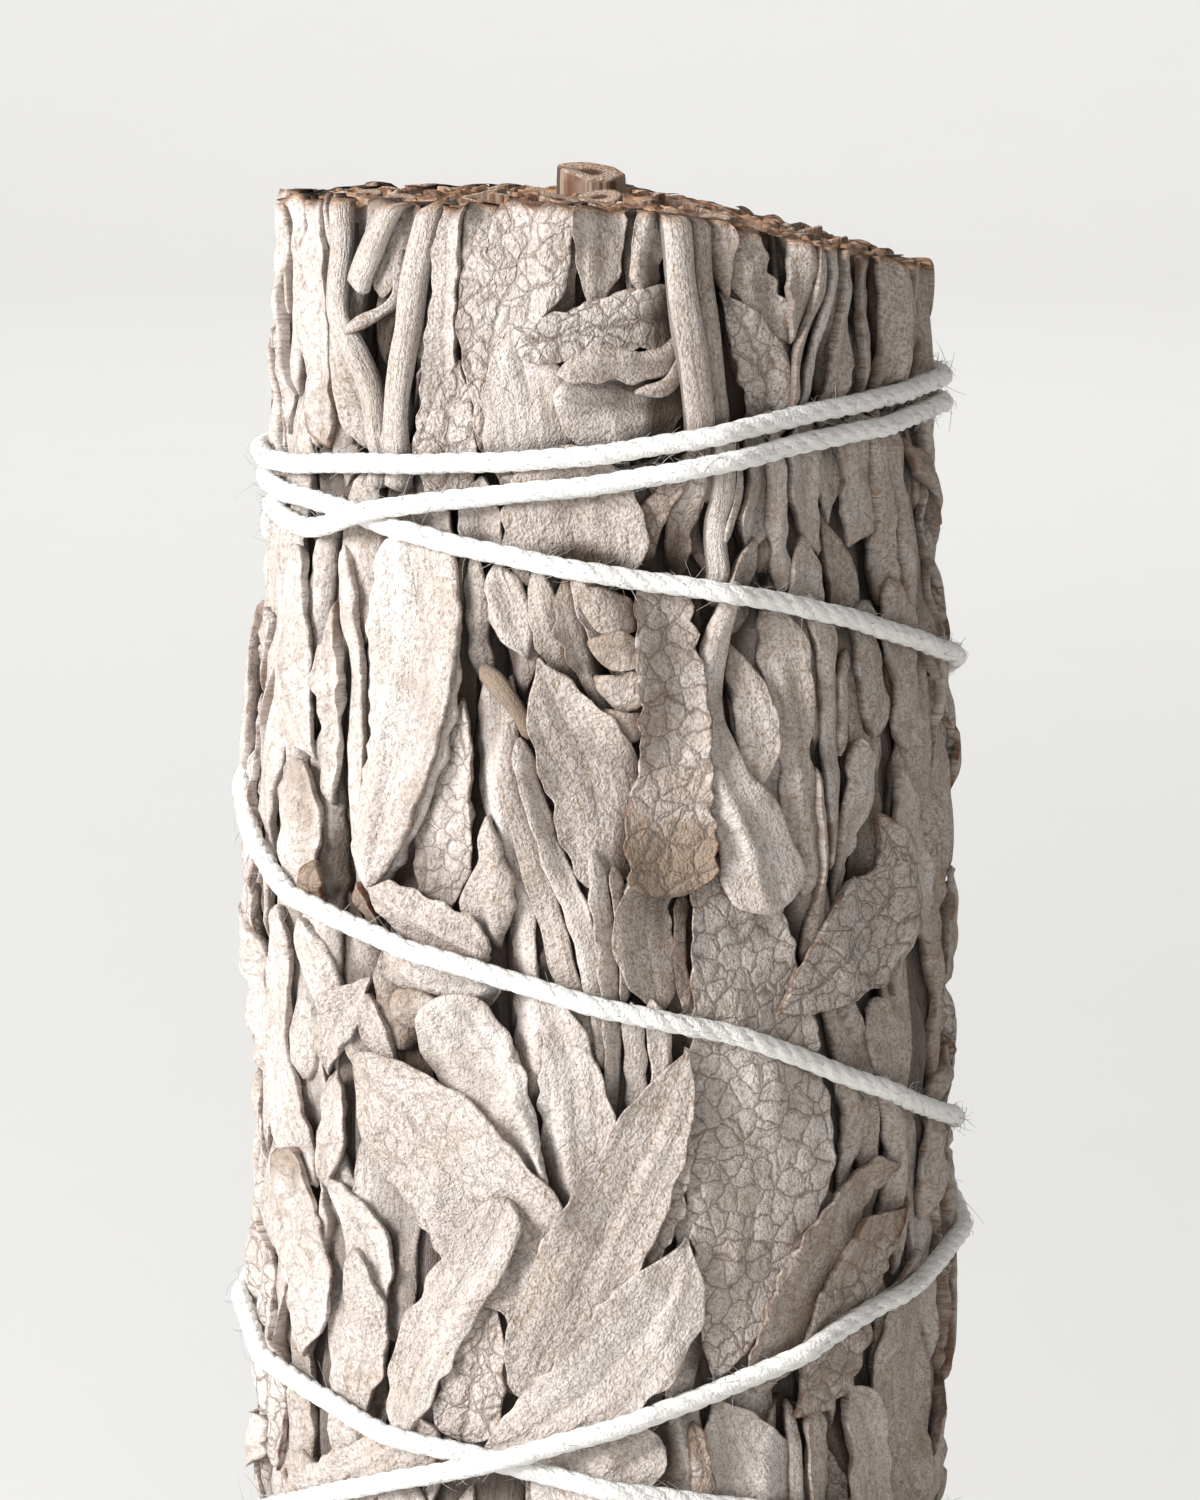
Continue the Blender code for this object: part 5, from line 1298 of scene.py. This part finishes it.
def taut_reach(wrap, track, radius):
    """The string's reach: held out by leaves and by its own earlier turns, straight elsewhere."""
    turn = track[:, 0] / BODY_RADIUS
    field = wrap.reach
    for axis in (0, 1):
        field = highest_beside(field, 1, axis)
    rest = wrap.place_in(field, track[:, 0], track[:, 1]) + radius * STRING_SINK
    shrink = 1 - np.diff(turn).mean() ** 2 / 2
    flat = np.stack([(turn % (2 * math.pi)) * BODY_RADIUS, track[:, 1]], axis=1)
    reach = rest
    for _ in range(CROSSING_ROUNDS):
        least = rest.copy()
        for i in range(len(flat)):
            before = turn < turn[i] - TURNS_APART
            gap = np.hypot(*(flat[before] - flat[i]).T)
            near = gap < 2 * radius
            if near.any():
                over = reach[before][near] + np.sqrt(4 * radius ** 2 - gap[near] ** 2)
                least[i] = max(rest[i], over.max())
        reach = least.copy()
        for _ in range(TAUT_ROUNDS):
            reach[1:-1] = np.maximum(least[1:-1], (reach[:-2] + reach[2:]) / 2 * shrink)
    return reach


def frames_along(points):
    """Two directions square to a line at each of its points."""
    tangent = directions(np.gradient(points, axis=0))
    out = directions(points * (1, 1, 0))
    out = directions(out - tangent * (out * tangent).sum(1)[:, None])
    return out, np.cross(tangent, out)


def add_tube(mesh, points, radius, sides, number, frames):
    """A round strand along a line."""
    first, second = frames
    turn = turns_round(sides)
    size = np.broadcast_to(radius, len(points))[:, None, None]
    ring = first[:, None] * np.cos(turn)[None, :, None] + second[:, None] * np.sin(turn)[None, :, None]
    way = pattern(lengths(points)[:, None], turn / 3, STRAND_SHIFT * number)
    mesh.loft((points[:, None] + ring * size)[:, ::-1], way)


def add_plies(mesh, points, radius):
    """Three strands twisted together along a line."""
    first, second = frames_along(points)
    along = lengths(points)
    for ply in range(PLIES):
        turn = 2 * math.pi * (along / PLY_PITCH + ply / PLIES) + 0.5 * np.sin(along / 9.0)
        out = first * np.cos(turn)[:, None] + second * np.sin(turn)[:, None]
        size = radius * (PLY_SIZE + 0.04 * np.sin(along / 1.7 + ply * 2))
        add_tube(mesh, points + out * radius * PLY_OFFSET, size, PLY_SIDES, ply, (first, second))


def add_fibres(mesh, points, radius, count, seed):
    """Loose cotton fibres that stand off the string."""
    draw = np.random.default_rng(seed)
    first, second = frames_along(points)
    tangent = np.cross(first, second)
    for number in range(count):
        i = draw.integers(len(points))
        turn = draw.uniform(0, 2 * math.pi)
        out = first[i] * math.cos(turn) + second[i] * math.sin(turn)
        sideways = tangent[i] * draw.choice([-1, 1]) + np.cross(tangent[i], out) * draw.normal(0, 0.8)
        length = draw.uniform(0.4, 1.8)
        lift = draw.uniform(0.05, 0.45) * length
        at = np.linspace(0, 1, FIBRE_POINTS)[:, None]
        bend = draw.normal(0, 0.35, 3) * length
        line = points[i] + out * radius * 0.75 + sideways * length * 0.6 * at + out * lift * at * (1.6 - at)
        line = line + bend * at ** 2 * 0.5
        reach = np.hypot(line[:, 0], line[:, 1])
        floor = math.hypot(points[i, 0], points[i, 1]) - radius * 0.5
        line[:, :2] *= (np.maximum(reach, floor) / reach)[:, None]
        thickness = FIBRE_RADIUS * (1.2 - at[:, 0] * 0.7)
        add_tube(mesh, line, thickness, FIBRE_SIDES, number, fibre_frame(line))


def fibre_frame(line):
    """Two directions square to a short line, whichever way it runs."""
    tangent = directions(np.gradient(line, axis=0))
    first = directions(np.cross(tangent, (0.31, 0.52, 0.79)))
    return first, np.cross(tangent, first)


def add_knot(mesh, centre, out, radius):
    """The knot: one strand that crosses over and under itself."""
    turn = np.linspace(0, 2 * math.pi, KNOT_POINTS)
    side = np.cross(out, (0, 0, 1))
    line = centre + side * ((np.sin(turn) + 2 * np.sin(2 * turn)) * KNOT_WIDTH)[:, None]
    line = line + np.array([0, 0, 1]) * ((np.cos(turn) - 2 * np.cos(2 * turn)) * KNOT_HEIGHT)[:, None]
    line = line + out * (-KNOT_DEPTH * np.sin(3 * turn))[:, None]
    add_tube(mesh, line, radius * KNOT_STRAND, KNOT_SIDES, KNOT_NUMBER, frames_along(line + out * 0.01))


def add_tail(mesh, wrap, centre, radius, hand):
    """One end of the string, which hangs from the knot against the leaves."""
    at = np.linspace(0, 1, TAIL_POINTS)
    angle = math.pi - hand * np.radians(2 + 11 * at)
    height = centre[2] - 0.4 - TAIL_LENGTH * at
    held = wrap.place_in(wrap.crest, angle * BODY_RADIUS, height) + radius * 0.9
    reach = np.maximum(held, np.hypot(centre[0], centre[1]) - 2.4 * at)
    tail = rolled_up(np.stack([angle * BODY_RADIUS, height, reach], -1))
    add_plies(mesh, tail, radius * 0.95)
    add_fibres(mesh, tail[-8:], radius, TAIL_FIBRES, 70 + hand)


def string_mesh(wrap, settings):
    """The winding with its fibres, the knot at the back and its two tails."""
    mesh = Mesh()
    radius = settings.diameter / MM / 2
    track = string_track(STRING_STEP)
    reach = taut_reach(wrap, track, radius)
    points = rolled_up(np.stack([track[:, 0], track[:, 1], reach], -1))
    centre = (points[0] + points[-1]) / 2
    out = np.array([centre[0], centre[1], 0]) / np.hypot(centre[0], centre[1])
    centre = centre + out * KNOT_RISE
    add_plies(mesh, points, radius)
    add_knot(mesh, centre, out, radius)
    for hand in (-1, 1):
        add_tail(mesh, wrap, centre, radius, hand)
    add_fibres(mesh, points, radius, settings.fibres, 5)
    return mesh


def add_backdrop(settings):
    """A floor that curves up into a wall behind the bunch."""
    turns = [math.radians(angle) for angle in range(10, 91, 10)]
    depth = [FLOOR_FRONT, COVE_START] + [COVE_START + COVE_RADIUS * math.sin(turn) for turn in turns]
    rise = [0.0, 0.0] + [COVE_RADIUS - COVE_RADIUS * math.cos(turn) for turn in turns]
    depth.append(COVE_START + COVE_RADIUS)
    rise.append(WALL_TOP)
    points = [(x, y, z) for y, z in zip(depth, rise) for x in (-HALF_FLOOR, HALF_FLOOR)]
    faces = [(2 * i, 2 * i + 1, 2 * i + 3, 2 * i + 2) for i in range(len(depth) - 1)]
    mesh = bpy.data.meshes.new("backdrop")
    mesh.from_pydata(points, [], faces)
    mesh.shade_smooth()
    mesh.materials.append(backdrop(settings))
    item = bpy.data.objects.new("backdrop", mesh)
    bpy.context.scene.collection.objects.link(item)


def add_light(name, power, size, place, target):
    """A soft square light that faces a target."""
    light = bpy.data.lights.new(name, "AREA")
    light.energy = power
    light.size = size
    item = bpy.data.objects.new(name, light)
    item.location = place
    aim = [end - start for start, end in zip(place, target)]
    rise = math.atan2(aim[2], math.hypot(aim[0], aim[1]))
    turn = math.atan2(aim[1], aim[0])
    item.rotation_euler = (math.pi / 2 + rise, 0.0, turn - math.pi / 2)
    bpy.context.scene.collection.objects.link(item)


def light_room(settings):
    """The even light of the room, and plain tones."""
    scene = bpy.context.scene
    scene.view_settings.view_transform = "Standard"
    scene.world = scene.world or bpy.data.worlds.new("room")
    scene.world.use_nodes = True
    background = scene.world.node_tree.nodes["Background"]
    background.inputs["Color"].default_value = ROOM_COLOUR
    background.inputs["Strength"].default_value = settings.sky


def add_camera(settings):
    """The camera in front of the bunch, which looks a little down on it."""
    camera = bpy.data.cameras.new("camera")
    camera.lens = settings.lens
    camera.sensor_width = FILM_WIDTH
    camera.clip_start = 0.01
    item = bpy.data.objects.new("camera", camera)
    item.location = (0.0, -settings.distance, settings.height)
    item.rotation_euler = (math.pi / 2 - settings.tilt, 0.0, 0.0)
    bpy.context.scene.collection.objects.link(item)
    bpy.context.scene.camera = item


def colour(name, description, default):
    """A colour that the user can change."""
    return bpy.props.FloatVectorProperty(
        name=name, description=description, default=default, subtype="COLOR")


class SageLeafSettings(bpy.types.PropertyGroup):
    """Colours of the dried leaves and of the sawn stems, and the dark of the painted shade in the gaps."""
    pale: colour("Pale felt", "Lightest felt of a leaf", (0.685, 0.63, 0.60))
    warm: colour("Warm felt", "Felt where it is worn", (0.595, 0.525, 0.475))
    # Also the grey of the painted shade on the right side, through the tint
    shade: colour("Grey felt", "Felt of the greyer leaves", (0.40, 0.335, 0.285))
    grain: colour("Grain", "Fine dark grain in the felt", (0.27, 0.205, 0.155))
    ochre: colour("Ochre", "Ochre specks in the felt", (0.36, 0.24, 0.13))
    vein: colour("Vein", "Dark lines of the vein net", (0.15, 0.105, 0.08))
    browned: colour("Browned", "Browned leaf", (0.33, 0.245, 0.185))
    rim: colour("Margin", "Dark brown of margins and torn ends", (0.15, 0.065, 0.035))
    sawn: colour("Sawn", "Orange brown of the sawn edges", (0.50, 0.26, 0.12))
    # Painted shade: the dark that stands for the shadow deep in the gaps between leaves
    gap: colour("Gap", "Dark in the gaps between leaves", (0.055, 0.035, 0.024))


class SageStringSettings(bpy.types.PropertyGroup):
    """Size and colours of the cotton string."""
    diameter: bpy.props.FloatProperty(
        name="Diameter", description="Thickness of the string", default=1.1 * MM, unit="LENGTH", precision=5)
    fibres: bpy.props.IntProperty(
        name="Fibres", description="Count of loose fibres", default=4200, min=0)
    cotton: colour("Cotton", "White of the string", (0.93, 0.915, 0.89))
    cotton_shade: colour("Cotton shade", "Greyer streaks in the string", (0.80, 0.775, 0.74))


class SageStageSettings(bpy.types.PropertyGroup):
    """Camera, lights and backdrop."""
    lens: bpy.props.FloatProperty(
        name="Lens", description="Focal length on a 36 mm film", default=137.0, unit="CAMERA")
    distance: bpy.props.FloatProperty(
        name="Distance", description="From the bunch's axis to the camera", default=0.300, unit="LENGTH")
    height: bpy.props.FloatProperty(
        name="Height", description="Camera's height", default=0.116, unit="LENGTH")
    tilt: bpy.props.FloatProperty(
        name="Tilt", description="How far the camera looks down", default=math.radians(8.7), subtype="ANGLE")
    paper: colour("Paper", "Colour of the floor and the backdrop", (0.90, 0.895, 0.88))
    key: bpy.props.FloatProperty(
        name="Key light", description="Power of the soft light at the left", default=10.4, unit="POWER")
    fill: bpy.props.FloatProperty(
        name="Fill light", description="Power of the soft light in front", default=1.0, unit="POWER")
    backdrop: bpy.props.FloatProperty(
        name="Backdrop light", description="Power of the light on the backdrop", default=16.5, unit="POWER")
    sky: bpy.props.FloatProperty(
        name="Room light", description="Strength of the even light of the room", default=0.26)


class SAGE_OT_outer_sprigs(bpy.types.Operator):
    """Lays the leaves and stems of the twelve outer sprigs"""
    bl_idname = "sage.outer_sprigs"
    bl_label = "Outer Sprigs"

    def execute(self, context):
        wrap, laid = lay_bunch()
        bench["wrap"] = wrap
        look = context.scene.sage_leaf
        bench["finishes"] = [dried_leaf(look), cut_stem(look)]
        for index in range(OUTER_SPRIGS):
            name = f"sprig_{index + 1:02d}"
            outer_mesh(wrap, laid, index).build(f"leafy_{name}", "dried_leaf", name, bench["finishes"])
        return {"FINISHED"}


class SAGE_OT_inner_sprigs(bpy.types.Operator):
    """Stands the five inner sprigs in the middle, with sawn leaves and stems at the top"""
    bl_idname = "sage.inner_sprigs"
    bl_label = "Inner Sprigs"

    def execute(self, context):
        if "finishes" not in bench:
            raise RuntimeError("lay the outer sprigs first")
        for index in range(INNER_SPRIGS + 1):
            name = f"inner_sprig_{index + 1:02d}"
            inner_mesh(index).build(f"sawn_{name}", "cut_stem", name, bench["finishes"])
        return {"FINISHED"}


class SAGE_OT_string(bpy.types.Operator):
    """Winds the bunch with the cotton string and ties it at the back"""
    bl_idname = "sage.string"
    bl_label = "String"

    def execute(self, context):
        if "wrap" not in bench:
            raise RuntimeError("lay the outer sprigs first")
        settings = context.scene.sage_string
        mesh = string_mesh(bench["wrap"], settings)
        mesh.build("cotton_winding", "cotton_string", "string", [cotton(settings)])
        return {"FINISHED"}


class SAGE_OT_stage(bpy.types.Operator):
    """Sets the floor with its backdrop, the lights and the camera"""
    bl_idname = "sage.stage"
    bl_label = "Stage"

    def execute(self, context):
        settings = context.scene.sage_stage
        add_backdrop(settings)
        add_light("key_light", settings.key, KEY_SIZE, KEY_PLACE, BUNCH_MIDDLE)
        add_light("fill_light", settings.fill, FILL_SIZE, FILL_PLACE, BUNCH_MIDDLE)
        add_light("backdrop_light", settings.backdrop, BACKDROP_LIGHT_SIZE, BACKDROP_LIGHT_PLACE,
                  BACKDROP_LIGHT_AIM)
        light_room(settings)
        add_camera(settings)
        return {"FINISHED"}


class SAGE_PT_bunch(bpy.types.Panel):
    """Lists the steps that make the bunch"""
    bl_idname = "SAGE_PT_bunch"
    bl_label = "Sage Bunch"
    bl_space_type = "VIEW_3D"
    bl_region_type = "UI"
    bl_category = "Sage"

    def draw(self, context):
        for step in STEPS:
            self.layout.operator(step.bl_idname)
        for settings in (context.scene.sage_leaf, context.scene.sage_string, context.scene.sage_stage):
            box = self.layout.box()
            for name in settings.bl_rna.properties.keys():
                if name not in ("rna_type", "name"):
                    box.prop(settings, name)


# What a step leaves for the next ones
bench = {}

STEPS = (SAGE_OT_outer_sprigs, SAGE_OT_inner_sprigs, SAGE_OT_string, SAGE_OT_stage)
SETTINGS = (SageLeafSettings, SageStringSettings, SageStageSettings)


def register():
    for kind in SETTINGS + STEPS + (SAGE_PT_bunch,):
        bpy.utils.register_class(kind)
    bpy.types.Scene.sage_leaf = bpy.props.PointerProperty(type=SageLeafSettings)
    bpy.types.Scene.sage_string = bpy.props.PointerProperty(type=SageStringSettings)
    bpy.types.Scene.sage_stage = bpy.props.PointerProperty(type=SageStageSettings)


def unregister():
    for name in ("sage_leaf", "sage_string", "sage_stage"):
        delattr(bpy.types.Scene, name)
    for kind in (SAGE_PT_bunch,) + STEPS[::-1] + SETTINGS[::-1]:
        bpy.utils.unregister_class(kind)


def main():
    register()
    bpy.ops.sage.outer_sprigs()
    bpy.ops.sage.inner_sprigs()
    bpy.ops.sage.string()
    bpy.ops.sage.stage()


if __name__ == "__main__":
    main()
